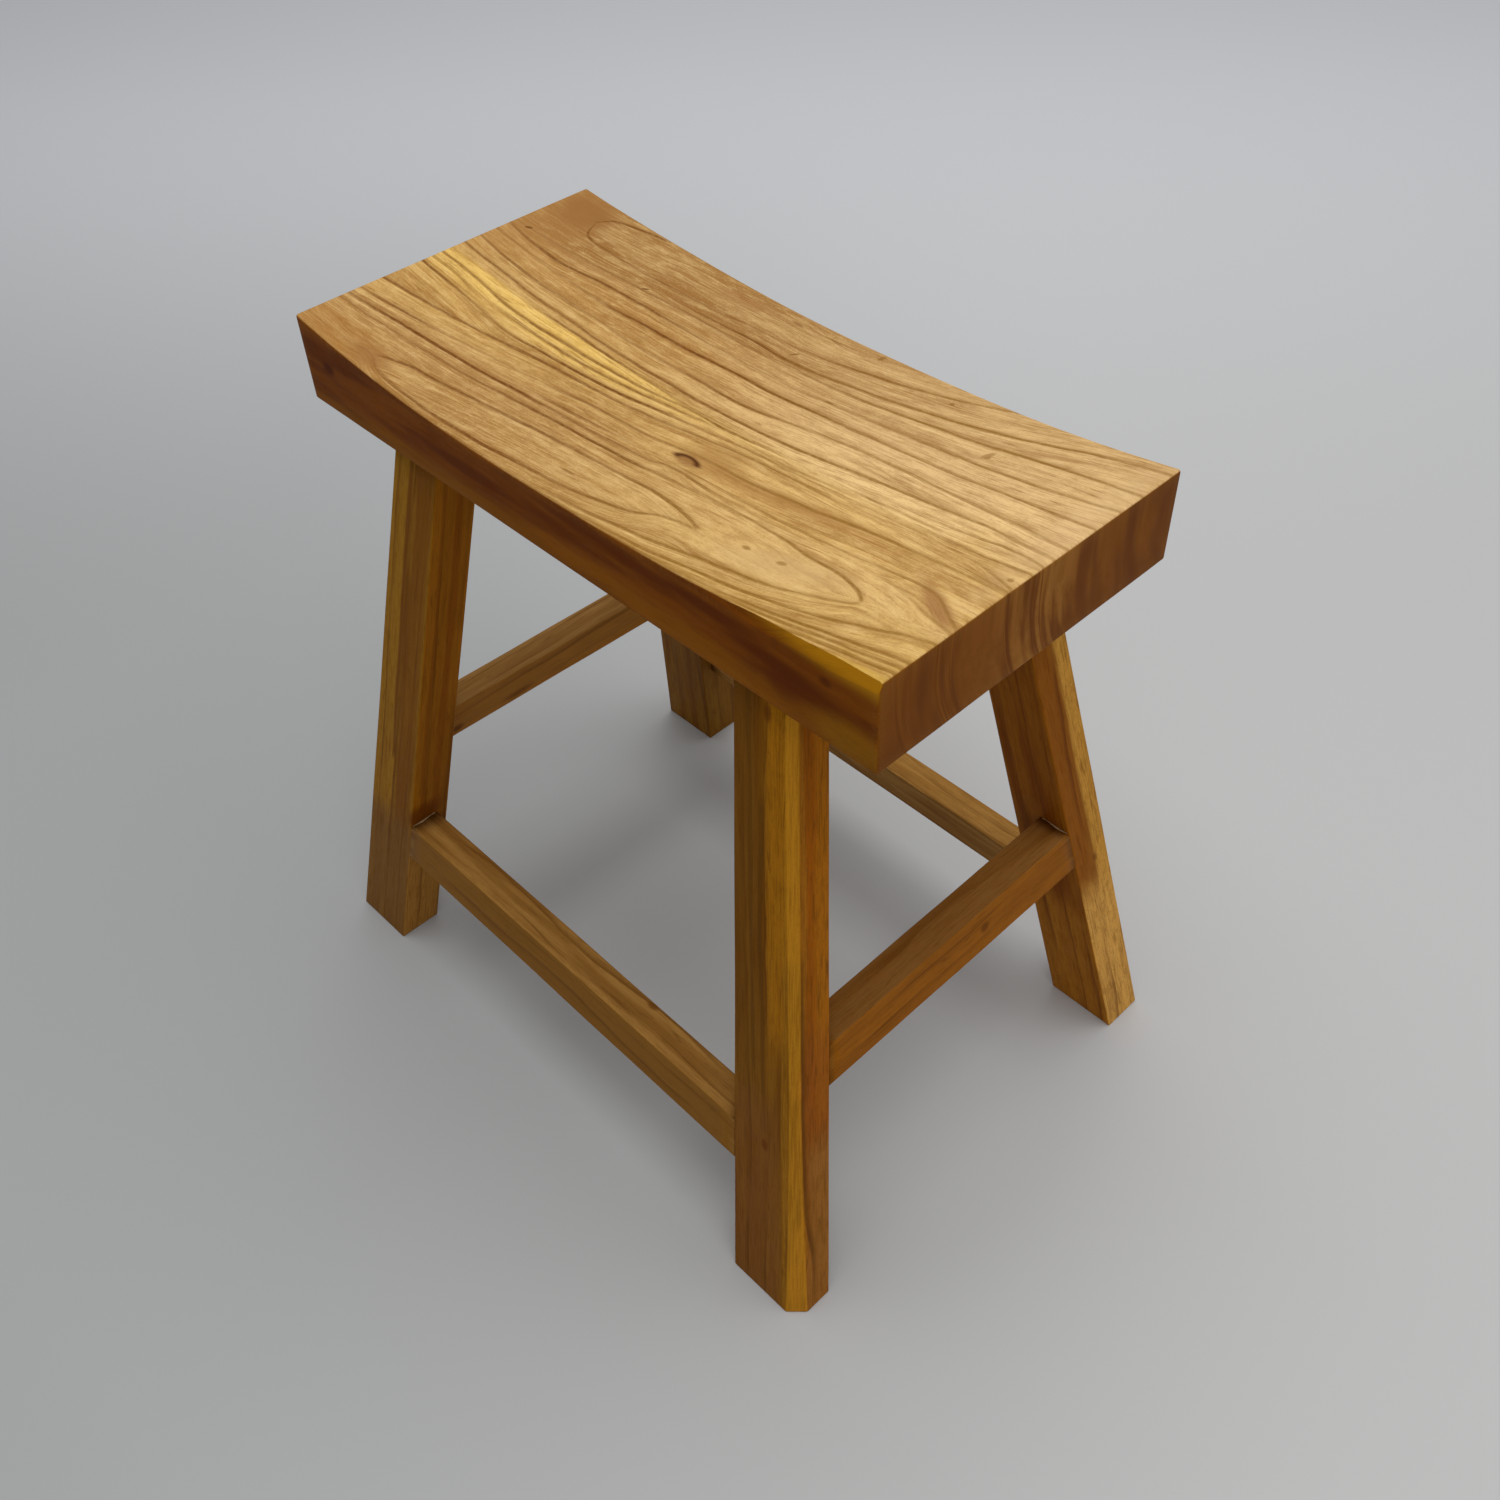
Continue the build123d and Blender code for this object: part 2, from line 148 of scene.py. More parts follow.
# Guide lines of the seat's growth rings, drawn from the back to the front. Each has the way the
# line takes over the top as places along and across the seat, then how dark it is along the seat
SEAT_LINES = (
    (((-212, 54), (-152, 57), (-100, 61.5), (-57, 63), (-37, 64.2), (-2, 62.8), (25, 64.5), (50, 67),
      (75, 70.5), (100, 74.2), (150, 85.2), (175, 91.5), (212, 94.5)),
     ((-110, 0), (-55, 0.35), (-5, 0.9), (20, 0.55), (60, 0.75), (140, 0.8), (200, 0.5))),
    (((-212, 48), (-152, 52), (-91, 56.8), (-32, 58.2), (0, 59), (50, 59.5), (75, 62), (125, 66.8),
      (157, 70.8), (185, 72.5), (212, 72)),
     ((-200, 0.1), (-70, 0.35), (-20, 0.2), (30, 0.35), (70, 0.7), (140, 0.8), (200, 0.5))),
    (((-212, 43.2), (-175, 39.8), (-162, 39.8), (-135, 43), (-112, 44.8), (-72, 45.5), (0, 45.8),
      (62, 48.2), (125, 50.5), (160, 52), (187, 54), (212, 56)),
     ((-205, 0.35), (-170, 0.75), (-110, 0.75), (-80, 0.5), (0, 0.12), (55, 0.2), (125, 0.6), (205, 0.35))),
    (((-212, 34), (-152, 31.8), (-100, 31.2), (-87, 32.8), (-60, 33), (-12, 35.2), (12, 35), (37, 35.8),
      (112, 37), (175, 38.5), (212, 38)),
     ((-200, 0.12), (-130, 0.2), (-95, 0.75), (-50, 0.95), (10, 1), (50, 0.75), (130, 0.42), (175, 0.65),
      (205, 0.5))),
    (((-212, 22.5), (-175, 18.8), (-112, 18), (-62, 16.5), (-25, 17.5), (12, 17), (37, 20.2), (62, 23.2),
      (100, 24.7), (137, 23.5), (187, 20.8), (212, 18.2)),
     ((-200, 0.35), (-170, 0.6), (-110, 0.2), (-50, 0.3), (5, 0.75), (40, 0.45), (120, 0.5), (190, 0.35))),
    (((-212, 11), (-162, 8.8), (-112, 6.8), (-87, 5.5), (-25, 4.8), (0, 4.2), (50, 5.5), (75, 7),
      (100, 9.2), (150, 11), (175, 11.8), (212, 8.8)),
     ((-205, 0.4), (-170, 0.6), (-140, 0.5), (-25, 0.75), (80, 0.8), (120, 0.75), (160, 0.55), (205, 0.4))),
    (((-212, 2.5), (-112, 1.2), (-62, -0.5), (-32, -1.5), (0, -2.8), (55, -1.5), (87, 0), (137, 1),
      (175, 2.5), (194, 4), (212, 1.5)),
     ((-150, 0.05), (-90, 0.7), (-30, 0.35), (0, 0.3), (40, 0.1), (130, 0.22), (160, 0.3), (185, 0.55))),
    (((-212, -5), (-175, -6), (-150, -8.8), (-87, -9), (-62, -8.6), (-37, -7.5), (-2, -4), (18, -4.8),
      (55, -2.9), (100, -3.4), (150, -3), (212, -1.8)),
     ((-200, 0.5), (-160, 0.5), (-90, 0.65), (-10, 0.5), (20, 0.75), (45, 0.55), (80, 0.1), (130, 0.3),
      (175, 0.1))),
    (((-212, -11.8), (-187, -11.8), (-150, -14), (-84, -14.8), (-62, -14), (-37, -12.2), (-12, -9),
      (18, -6.4), (62, -8), (105, -6.5), (150, -7.5), (212, -5.8)),
     ((-190, 0.35), (-165, 0.12), (-110, 0.55), (-25, 0.6), (5, 0.35), (30, 0.1), (80, 0.4), (125, 0.1),
      (200, 0.6))),
    (((-212, -19), (-162, -21.2), (-132, -24.2), (-100, -22.6), (-62, -20.8), (-37, -18.5), (-12, -15),
      (37, -10.4), (62, -10), (112, -10.5), (187, -13), (200, -16), (212, -20)),
     ((-200, 0.7), (-150, 0.3), (-105, 0.75), (-60, 0.95), (-25, 0.9), (0, 0.55), (50, 0.5), (110, 0.1),
      (180, 0.1), (205, 0.45))),
    (((-212, -45.5), (-187, -41.8), (-162, -38), (-112, -30.5), (-87, -27.8), (-37, -24.2), (-12, -21.5),
      (12, -18), (37, -15), (75, -13.8), (112, -14.8), (150, -16.8), (212, -22.4)),
     ((-205, 0.6), (-150, 0.5), (-100, 0.7), (-30, 0.55), (10, 0.42), (75, 0.6), (110, 0.2), (170, 0.15),
      (205, 0.5))),
    (((-212, -60.5), (-175, -54.2), (-125, -46), (-91, -41.8), (-32, -35.2), (0, -33.8), (27, -29.8),
      (62, -29.2), (102, -27.2), (125, -25), (150, -23.2), (212, -23.6)),
     ((-212, 0.1), (-190, 0.75), (-150, 0.2), (-90, 0.12), (-40, 0.5), (0, 0.4), (50, 0.5), (105, 0.7),
      (175, 0.55), (205, 0.4))),
    (((-212, -64.2), (-152, -55.5), (-91, -50.5), (-37, -46.8), (0, -43.8), (27, -42.5), (87, -43),
      (150, -42.2), (178, -40.4), (190, -42), (200, -48), (212, -56)),
     ((-80, 0), (-50, 0.45), (0, 0.1), (50, 0.15), (95, 0.45), (150, 0.3), (170, 0.5), (195, 0.4))),
    (((-212, -68), (-175, -63), (-137, -58.8), (-112, -57), (-87, -54.5), (-62, -52.8), (-12, -50.2),
      (12, -48.5), (24, -45.2), (56, -47), (87, -47.5), (175, -48.5), (200, -56.5), (212, -59)),
     ((-208, 0.5), (-175, 0.95), (-130, 0.85), (-90, 0.95), (-60, 0.5), (-10, 0.45), (20, 0.45),
      (38, 0.65), (65, 0.2), (150, 0.06), (205, 0.3))),
    (((-212, -73), (-150, -67.2), (-112, -63.8), (-62, -58.8), (-12, -56), (12, -54.8), (25, -53),
      (112, -53), (125, -55.2), (150, -57), (160, -59.6), (165.5, -62.3), (168.5, -65), (190, -63.6),
      (212, -61)),
     ((-200, 0.15), (-110, 0.3), (-50, 0.75), (5, 0.85), (25, 0.35), (80, 0.4), (115, 0.6), (158, 0.8),
      (168, 0.75), (169.5, 0))),
    (((-212, -86), (-170, -88.3), (-158.8, -89), (-155, -87), (-140, -81.2), (-125, -79), (-75, -72),
      (-25, -67.5), (25, -65), (34, -64.5), (62, -68.2), (73, -71.4), (90, -72.2), (112, -72.6),
      (150, -69), (168.5, -65.7), (190, -64.6), (212, -63.4)),
     ((-162, 0), (-156, 0.3), (-138, 0.75), (-70, 0.5), (-50, 0.7), (0, 0.5), (32, 0.75), (71, 0.6),
      (75, 0))),
    (((-212, -94), (-175, -92), (-158.8, -90.6), (-150, -94.8), (-112, -97.2), (-67, -95.8),
      (-37, -93.5), (0, -90.5), (25, -86), (40, -82.5), (52, -76.2), (73, -72.9), (90, -74.2),
      (112, -74.5), (150, -71.4), (168.5, -66.3), (190, -65.6), (212, -65)),
     ((-160, 0.1), (-140, 0.35), (-100, 0.6), (-60, 0.85), (0, 0.5), (28, 0.75), (50, 0.5), (72, 0.35),
      (76, 0))),
    (((-212, -105), (-17, -99.5), (12, -97.8), (62, -92.2), (100, -86), (125, -82.8), (150, -75.8),
      (160, -72), (166, -69), (168.8, -66.9), (190, -67), (212, -66.6)),
     ((-40, 0.1), (0, 0.4), (60, 0.7), (120, 0.7), (150, 0.45), (167, 0.55), (169.5, 0))),
    (((-212, -108), (12, -101), (62, -98.8), (105, -94.2), (140, -89.5), (162, -84.2), (187, -75.5),
      (200, -70.6), (212, -68.4)),
     ((20, 0.3), (90, 0.75), (135, 0.7), (155, 0.5), (175, 0.75), (205, 0.5))),
    (((-212, -111), (75, -101), (132, -97.2), (157, -93.5), (187, -88), (212, -84.2)),
     ((90, 0.35), (140, 0.75), (175, 0.85), (205, 0.6))),
    (((-212, -114), (100, -101.5), (150, -97.5), (175, -93.8), (212, -88.5)),
     ((110, 0.35), (150, 0.75), (205, 0.65))),
    (((-212, -117), (132, -102.5), (175, -97.2), (212, -92.5)),
     ((130, 0.35), (175, 0.6), (205, 0.7))),
)

# The loop of one ring near the back left corner, upper and lower side
CORNER_LOOP = (
    (((-212, 110), (-181, 82), (-177, 87.5), (-174, 90.5), (-162, 94.5), (-137, 100), (-110, 106),
      (212, 118)),
     ((-182, 0), (-178, 0.6), (-150, 0.7), (-137, 0.45), (-120, 0.2))),
    (((-212, 110), (-181, 84), (-178, 77), (-172, 69), (-150, 67.5), (-100, 68.8), (-50, 72.5), (0, 75.8),
      (37, 80.8), (62, 85), (87, 90.8), (110, 97.5), (130, 104), (212, 118)),
     ((-182, 0), (-175, 0.65), (-160, 0.3), (-100, 0.25), (0, 0.25), (30, 0.75), (85, 0.7), (112, 0.5))),
)

# Tints of the seat from its back to its front, at its left and at its right. They are partly the wood's own
# tone and partly a painted sheen that makes the top paler than the sides
LEFT_TINTS = (
    (0.00, (0.34, 0.166, 0.047)), (0.14, (0.485, 0.262, 0.079)), (0.27, (0.58, 0.335, 0.101)),
    (0.30, (0.86, 0.550, 0.137)), (0.37, (0.82, 0.520, 0.130)), (0.43, (0.59, 0.345, 0.098)),
    (0.60, (0.48, 0.264, 0.089)), (0.80, (0.44, 0.235, 0.072)), (1.00, (0.45, 0.235, 0.058)),
)
RIGHT_TINTS = (
    (0.00, (0.62, 0.390, 0.165)), (0.16, (0.73, 0.475, 0.215)), (0.30, (0.87, 0.585, 0.255)),
    (0.40, (0.81, 0.530, 0.200)), (0.55, (0.67, 0.405, 0.130)), (0.66, (0.685, 0.430, 0.155)),
    (0.78, (0.66, 0.415, 0.143)), (1.00, (0.65, 0.395, 0.108)),
)

# Soft patches of the seat's top: centre, size, turn, tint and how strongly it shows
TOP_PATCHES = (
    ((-192, 84, 450), (19, 16, 60), 0.2, (0.25, 0.105, 0.028), 0.90),
    ((-200, 65, 450), (26, 50, 60), 0.0, (0.38, 0.180, 0.050), 0.50),
    ((-190, -95, 450), (46, 14, 60), 0.0, (0.38, 0.170, 0.040), 0.45),
    ((-160, -92, 450), (13, 9, 60), 0.0, (0.32, 0.140, 0.040), 0.50),
    ((37, -27, 440), (17, 11, 60), 0.1, (0.36, 0.175, 0.045), 0.60),
    ((195, -47.5, 450), (18, 4.4, 60), 0.55, (0.31, 0.135, 0.042), 0.75),
    ((92, -30, 445), (50, 5.5, 60), -0.10, (0.36, 0.170, 0.045), 0.60),
    ((-60, 89, 445), (20, 3.5, 60), -0.1, (0.34, 0.155, 0.045), 0.55),
    ((-165, 49, 445), (40, 3, 60), -0.05, (0.38, 0.190, 0.060), 0.45),
    ((125, -68, 445), (32, 9, 60), -0.25, (0.64, 0.410, 0.175), 0.55),
    # The next two are painted sheen: pale strips along the top's right end edge and its front right edge
    ((205, 40, 452), (10, 70, 60), 0.0, (0.70, 0.460, 0.220), 0.35),
    ((196, -101, 452), (22, 3.0, 20), -0.1, (0.62, 0.380, 0.070), 0.70),
)

# Small dark marks of the top: centre, size, turn and how dark
TOP_MARKS = (
    ((133.5, 60, 450), (1.6, 4.2, 40), 0.35, 0.55),
    ((134.5, 58.5, 450), (1.4, 1.8, 40), 0.6, 0.7),
    ((101, -68, 445), (2.4, 1.3, 40), 0.0, 0.65),
    ((122, -66.6, 445), (2.6, 1.4, 40), -0.2, 0.6),
    ((-109.5, 57, 448), (2.6, 0.9, 40), -0.65, 0.8),
    ((-5, 69.5, 440), (2.8, 0.8, 40), -0.85, 0.7),
    ((-200.5, 48.5, 452), (2.4, 1.1, 40), -0.55, 0.85),
    ((41.5, 47.5, 440), (3.2, 0.8, 40), 0.0, 0.75),
    ((89, 86.3, 445), (1.4, 1.2, 40), 0.0, 0.75),
    ((32, 97, 440), (1.2, 2.6, 40), 0.2, 0.6),
    ((-25, 92.5, 440), (4.5, 1.2, 40), 0.15, 0.45),
    ((3, 93, 440), (4.5, 1.0, 40), 0.15, 0.5),
    ((207, -14.5, 452), (1.6, 1.4, 40), 0.0, 0.6),
    ((-9, -81.5, 440), (5.0, 0.9, 40), 0.0, 0.55),
)

# Soft patches of the seat's long sides, with the front's own marks
SIDE_PATCHES = (
    ((-110, -102, 404), (95, 30, 7), 0.0, (0.26, 0.095, 0.005), 0.55),
    ((95, -102, 408), (130, 30, 8), 0.0, (0.33, 0.114, 0.004), 0.50),
    ((197, -102, 410), (20, 30, 10), 0.0, (0.32, 0.135, 0.006), 0.60),
    ((192, -102, 451), (55, 30, 9), 0.0, (0.50, 0.215, 0.006), 0.90),
    ((-189, -102, 428), (5, 30, 3.2), 0.0, (0.070, 0.012, 0.003), 0.80),
    ((112, -102, 433), (26, 30, 3.4), 0.0, (0.100, 0.018, 0.002), 0.75),
    ((152, -102, 427), (32, 30, 4.2), 0.0, (0.100, 0.018, 0.002), 0.75),
    ((158, -102, 418), (10, 30, 8), 0.0, (0.115, 0.022, 0.003), 0.60),
    ((182.5, -102, 434.5), (3.4, 30, 2.4), 0.0, (0.070, 0.012, 0.002), 0.60),
)

# The knot's centre, size, turn and softness, and where across the seat its dark upper rim fades in
KNOT, KNOT_RIM = ((26.5, -36.6, 438), (7.2, 3.3, 30), 0.05, 0.6), (-38.4, -35.8)

# Calm places with few streaks, inside the loops at the front right: centre, size, turn and softness
CALM_PLACES = (
    ((118, -67, 445), (54, 13, 60), -0.1, 0.3),
    ((194, -68, 450), (26, 15, 60), -0.1, 0.3),
)

# Ways that a face looks
FRONT, RIGHT, TOP, CORNER = (0, -1, 0), (1, 0, 0), (0, 0, 1), (0.7071, -0.7071, 0)

# Each leg's and rail's own look: its light, dark and deep tints, where the heart of its rings lies, the
# width of a ring, and a seed for its fibre and rings. Then come the marks of that piece. A face has the
# way it looks, a tint and a share. A stripe has the face it is on, its middle and half its width across
# the face, its start and end along the piece, its softness, a tint and a share. A spot has its centre and
# size along and across the piece, its turn, tint and share. The planed corner is written like a face
LEG_RED, RAIL_RED = (0.13, 0.028, 0.003), (0.12, 0.028, 0.003)
STOCK_LOOKS = {
    "front_left_leg": dict(
        tints=((0.33, 0.150, 0.012), (0.21, 0.077, 0.005), (0.12, 0.034, 0.003)),
        heart=(0, 70, -50), ring_width=13, seed=11,
        faces=((RIGHT, (0.36, 0.115, 0.005), 0.85),),
        stripes=(
            (FRONT, -12, 6, (125, 500), 6, (0.40, 0.190, 0.015), 0.75),
            (FRONT, -3, 0.8, (170, 500), 1.6, LEG_RED, 0.65),
            (FRONT, 4, 0.6, (120, 500), 1.4, LEG_RED, 0.4),
            (FRONT, 10, 5, (120, 500), 5, (0.22, 0.072, 0.006), 0.6),
            (FRONT, 0, 30, (-50, 100), 6, (0.185, 0.086, 0.028), 0.65),
            (RIGHT, 4, 1.4, (100, 500), 2.5, (0.22, 0.050, 0.003), 0.65),
            (RIGHT, -7, 1, (130, 500), 1.5, (0.20, 0.045, 0.003), 0.5),
            (RIGHT, 0, 30, (-50, 80), 6, (0.43, 0.215, 0.048), 0.65),
        ),
        spots=(((123, 22, -6), (9, 4, 14), 0, LEG_RED, 0.85),),
    ),
    "front_right_leg": dict(
        tints=((0.285, 0.114, 0.007), (0.19, 0.063, 0.003), (0.10, 0.032, 0.003)),
        heart=(0, -60, 45), ring_width=12, seed=23,
        faces=((RIGHT, (0.41, 0.104, 0.001), 0.94),),
        planed=((CORNER, (0.60, 0.265, 0.018), 0.80),),
        stripes=(
            (FRONT, -14, 7, (140, 500), 7, (0.165, 0.073, 0.010), 0.5),
            (FRONT, 9.5, 2.4, (215, 400), 9, (0.50, 0.193, 0.005), 0.76),
            (FRONT, -1.5, 0.8, (130, 330), 1.8, (0.10, 0.040, 0.004), 0.6),
            (FRONT, -9, 0.7, (170, 400), 1.5, (0.10, 0.040, 0.004), 0.5),
            (FRONT, 17, 2.2, (-50, 500), 2, (0.52, 0.225, 0.012), 0.6),
            (FRONT, -6, 14, (-50, 135), 6, (0.235, 0.088, 0.020), 0.6),
            (RIGHT, 8, 4, (150, 500), 4, (0.50, 0.180, 0.006), 0.6),
            (RIGHT, -8, 2.5, (-50, 500), 2, (0.47, 0.190, 0.014), 0.6),
            (RIGHT, 0, 30, (110, 180), 8, (0.36, 0.092, 0.010), 0.6),
            (RIGHT, 6, 7, (-50, 110), 6, (0.40, 0.182, 0.036), 0.6),
        ),
        spots=(
            ((117, 0, -13), (4, 2.2, 5), 0, LEG_RED, 0.7),
            ((384, 3.5, -12.5), (4.5, 2.6, 5), 0, LEG_RED, 0.65),
        ),
    ),
    "back_right_leg": dict(
        tints=((0.33, 0.112, 0.008), (0.20, 0.050, 0.003), (0.12, 0.028, 0.003)),
        heart=(0, -80, -70), ring_width=11, seed=37,
        faces=((RIGHT, (0.40, 0.155, 0.014), 0.75),),
        stripes=(
            (RIGHT, 10, 5, (-50, 500), 3.5, (0.73, 0.365, 0.058), 0.85),
            # Painted light: the low part of this leg's right face is painted pale gold, where it is out of
            # the seat's shade
            (RIGHT, 0, 30, (-50, 110), 8, (0.83, 0.435, 0.094), 0.85),
            (RIGHT, -9, 6, (150, 500), 4, (0.30, 0.086, 0.004), 0.7),
            (FRONT, 0, 30, (-50, 95), 6, (0.49, 0.192, 0.014), 0.62),
        ),
        spots=(((152, 24, 3), (4, 3, 2.4), 0, LEG_RED, 0.7),),
    ),
    "back_left_leg": dict(
        tints=((0.27, 0.118, 0.010), (0.18, 0.060, 0.004), (0.11, 0.034, 0.003)),
        heart=(0, 55, 75), ring_width=12, seed=51,
    ),
    "front_rail": dict(
        tints=((0.415, 0.207, 0.050), (0.275, 0.120, 0.024), (0.14, 0.050, 0.007)),
        heart=(0, 60, -30), ring_width=8, seed=61,
        faces=((FRONT, (0.235, 0.097, 0.008), 0.9),),
        spots=(((64, 17, 29), (4, 2, 4), 0, RAIL_RED, 0.7),),
    ),
    "back_rail": dict(
        tints=((0.46, 0.235, 0.058), (0.30, 0.130, 0.025), (0.16, 0.058, 0.009)),
        heart=(0, -50, -40), ring_width=7, seed=73,
    ),
    "left_rail": dict(
        tints=((0.47, 0.250, 0.075), (0.33, 0.160, 0.040), (0.17, 0.062, 0.010)),
        heart=(0, -40, 55), ring_width=9, seed=87,
        faces=((RIGHT, (0.38, 0.130, 0.006), 0.85),),
        spots=(
            ((-83, 21, 6), (5, 4, 3), 0, RAIL_RED, 0.8),
            ((-32, 21, 6), (13, 4, 3), 0, RAIL_RED, 0.7),
        ),
    ),
    "right_rail": dict(
        tints=((0.37, 0.140, 0.016), (0.25, 0.085, 0.009), (0.14, 0.042, 0.004)),
        heart=(0, 45, -60), ring_width=9, seed=95,
        # Painted shade: this rail's top face is painted darker and greyer, as shade under the seat
        faces=((RIGHT, (0.37, 0.114, 0.004), 0.75), (TOP, (0.24, 0.115, 0.034), 0.8)),
        spots=(((22, 0, 15), (3.5, 4, 3), 0, RAIL_RED, 0.7),),
    ),
}


class Tree:
    """One node tree in the making. Most calls add nodes and give back what comes out of the last."""

    def __init__(self, tree):
        self.tree = tree

    def feed(self, socket, value):
        """Links another socket to this one, or sets its value."""
        if isinstance(value, bpy.types.NodeSocket):
            self.tree.links.new(value, socket)
        else:
            socket.default_value = value

    def node(self, kind, *feeds, **settings):
        made = self.tree.nodes.new(kind)
        for name, value in settings.items():
            setattr(made, name, value)
        for slot, value in feeds:
            self.feed(made.inputs[slot], value)
        return made

    def math(self, operation, *values):
        return self.node("ShaderNodeMath", *enumerate(values), operation=operation).outputs[0]

    def plus(self, first, second):
        return self.math("ADD", first, second)

    def minus(self, first, second):
        return self.math("SUBTRACT", first, second)

    def times(self, first, second):
        return self.math("MULTIPLY", first, second)

    def gap(self, first, second):
        """How far apart two numbers are."""
        return self.math("ABSOLUTE", self.minus(first, second))

    def vector(self, operation, *values):
        made = self.node("ShaderNodeVectorMath", *enumerate(values), operation=operation)
        return made.outputs["Value" if operation in ("LENGTH", "DOT_PRODUCT") else "Vector"]

    def split(self, vector):
        return self.node("ShaderNodeSeparateXYZ", (0, vector)).outputs[:]

    def join(self, *parts):
        return self.node("ShaderNodeCombineXYZ", *enumerate(parts)).outputs[0]

    def spread(self, value, low, high, to_low=0.0, to_high=1.0, kind="SMOOTHSTEP"):
        feeds = enumerate((value, low, high, to_low, to_high))
        return self.node("ShaderNodeMapRange", *feeds, interpolation_type=kind, clamp=True).outputs[0]

    def blend(self, share, first, second):
        return self.node("ShaderNodeMix", (0, share), (2, first), (3, second), data_type="FLOAT").outputs[0]

    def mix(self, share, *colours):
        """Mixes two colours. Each is a socket, or a red, a green and a blue."""
        first, second = (
            colour if isinstance(colour, bpy.types.NodeSocket) else (*colour, 1.0) for colour in colours
        )
        return self.node("ShaderNodeMix", (0, share), (6, first), (7, second), data_type="RGBA").outputs[2]

    def stain(self, colour, effect, share, tint):
        """Mixes a tint into a colour where an effect shows."""
        return self.mix(self.times(effect, share), colour, tint)

    def wash(self, colour, effect, start, full, share, tint, kind="SMOOTHSTEP"):
        """Mixes a tint into a colour, more and more between two levels of an effect."""
        return self.mix(self.spread(effect, start, full, 0.0, share, kind), colour, tint)

    def noise(self, vector, stretch=None, scale=1.0, detail=2.0, rough=0.5, out="Fac"):
        if stretch:
            vector = self.vector("MULTIPLY", vector, stretch)
        feeds = (("Vector", vector), ("Scale", scale), ("Detail", detail), ("Roughness", rough))
        return self.node("ShaderNodeTexNoise", *feeds, noise_dimensions="3D").outputs[out]

    def ramp(self, value, stops):
        made = self.node("ShaderNodeValToRGB", (0, value))
        line = made.color_ramp
        while len(line.elements) < len(stops):
            line.elements.new(1.0)
        for spot, (place, tint) in zip(line.elements, stops):
            spot.position = place
            spot.color = (*tint, 1.0)
        return made.outputs[0]

    def curve(self, value, points):
        made = self.node("ShaderNodeFloatCurve", (1, value))
        line = made.mapping.curves[0]
        while len(line.points) < len(points):
            line.points.new(0.5, 0.5)
        for spot, place in zip(line.points, points):
            spot.location = place
        made.mapping.extend = "HORIZONTAL"
        made.mapping.update()
        return made.outputs[0]

    def attribute(self, name, out):
        return self.node("ShaderNodeAttribute", attribute_name=name, attribute_type="GEOMETRY").outputs[out]

    def group(self, name, **feeds):
        made = self.tree.nodes.new("ShaderNodeGroup")
        made.node_tree = bpy.data.node_groups[name]
        for slot, value in feeds.items():
            self.feed(made.inputs[slot.replace("_", " ").capitalize()], value)
        return made.outputs

    def oval_spot(self, place, centre, size, turn, softness):
        feeds = {"place": place, "centre": centre, "size": size, "turn": turn, "softness": softness}
        return self.group("oval_spot", **feeds)


def new_group(name, takes, gives):
    """
    A node group with named inputs and outputs. Gives its tree, what comes in and what goes out. Place,
    Heart, Centre and Size are vectors, and all else is a number.
    """
    tree = bpy.data.node_groups.new(name, "ShaderNodeTree")
    for way, labels in (("INPUT", takes), ("OUTPUT", gives)):
        for label in labels:
            kind = "Vector" if label in ("Place", "Heart", "Centre", "Size") else "Float"
            tree.interface.new_socket(label, in_out=way, socket_type="NodeSocket" + kind)
    return Tree(tree), tree.nodes.new("NodeGroupInput").outputs, tree.nodes.new("NodeGroupOutput").inputs


def build_fibre_group():
    """Fine streaks, thin hairlines, broad bands, pores, mottling and speckle that run along the wood."""
    build, takes, gives = new_group(
        "wood_fibre", ("Place", "Seed"), ("Streaks", "Hairlines", "Bands", "Pores", "Mottle", "Speckle")
    )
    seed = takes["Seed"]
    moved = build.vector("ADD", takes["Place"], build.join(seed, seed, seed))

    def grain(along, across, detail, rough):
        return build.noise(moved, (along, across, across), detail=detail, rough=rough)

    for name, look, low, high in (
        ("Streaks", (0.040, 1.15, 4.0, 0.7), 0.32, 0.68),
        ("Bands", (0.008, 0.11, 2.0, 0.5), 0.34, 0.66),
        ("Mottle", (0.09, 0.26, 4.0, 0.65), 0.32, 0.68),
        ("Speckle", (0.65, 1.0, 3.0, 0.8), 0.30, 0.70),
    ):
        build.feed(gives[name], build.spread(grain(*look), low, high, -1.0, 1.0, "LINEAR"))
    build.feed(gives["Pores"], build.spread(grain(0.24, 2.6, 1.0, 0.5), 0.60, 0.72))
    # A hairline runs where the slow sway passes one of a few levels
    sway, broken = grain(0.007, 0.21, 1.0, 0.4), grain(0.030, 0.26, 2.0, 0.6)
    ridge = build.gap(build.math("FRACT", build.times(sway, 9.0)), 0.5)
    hairline = build.times(build.spread(ridge, 0.0, 0.16, 1.0, 0.0), build.spread(broken, 0.42, 0.62))
    build.feed(gives["Hairlines"], hairline)


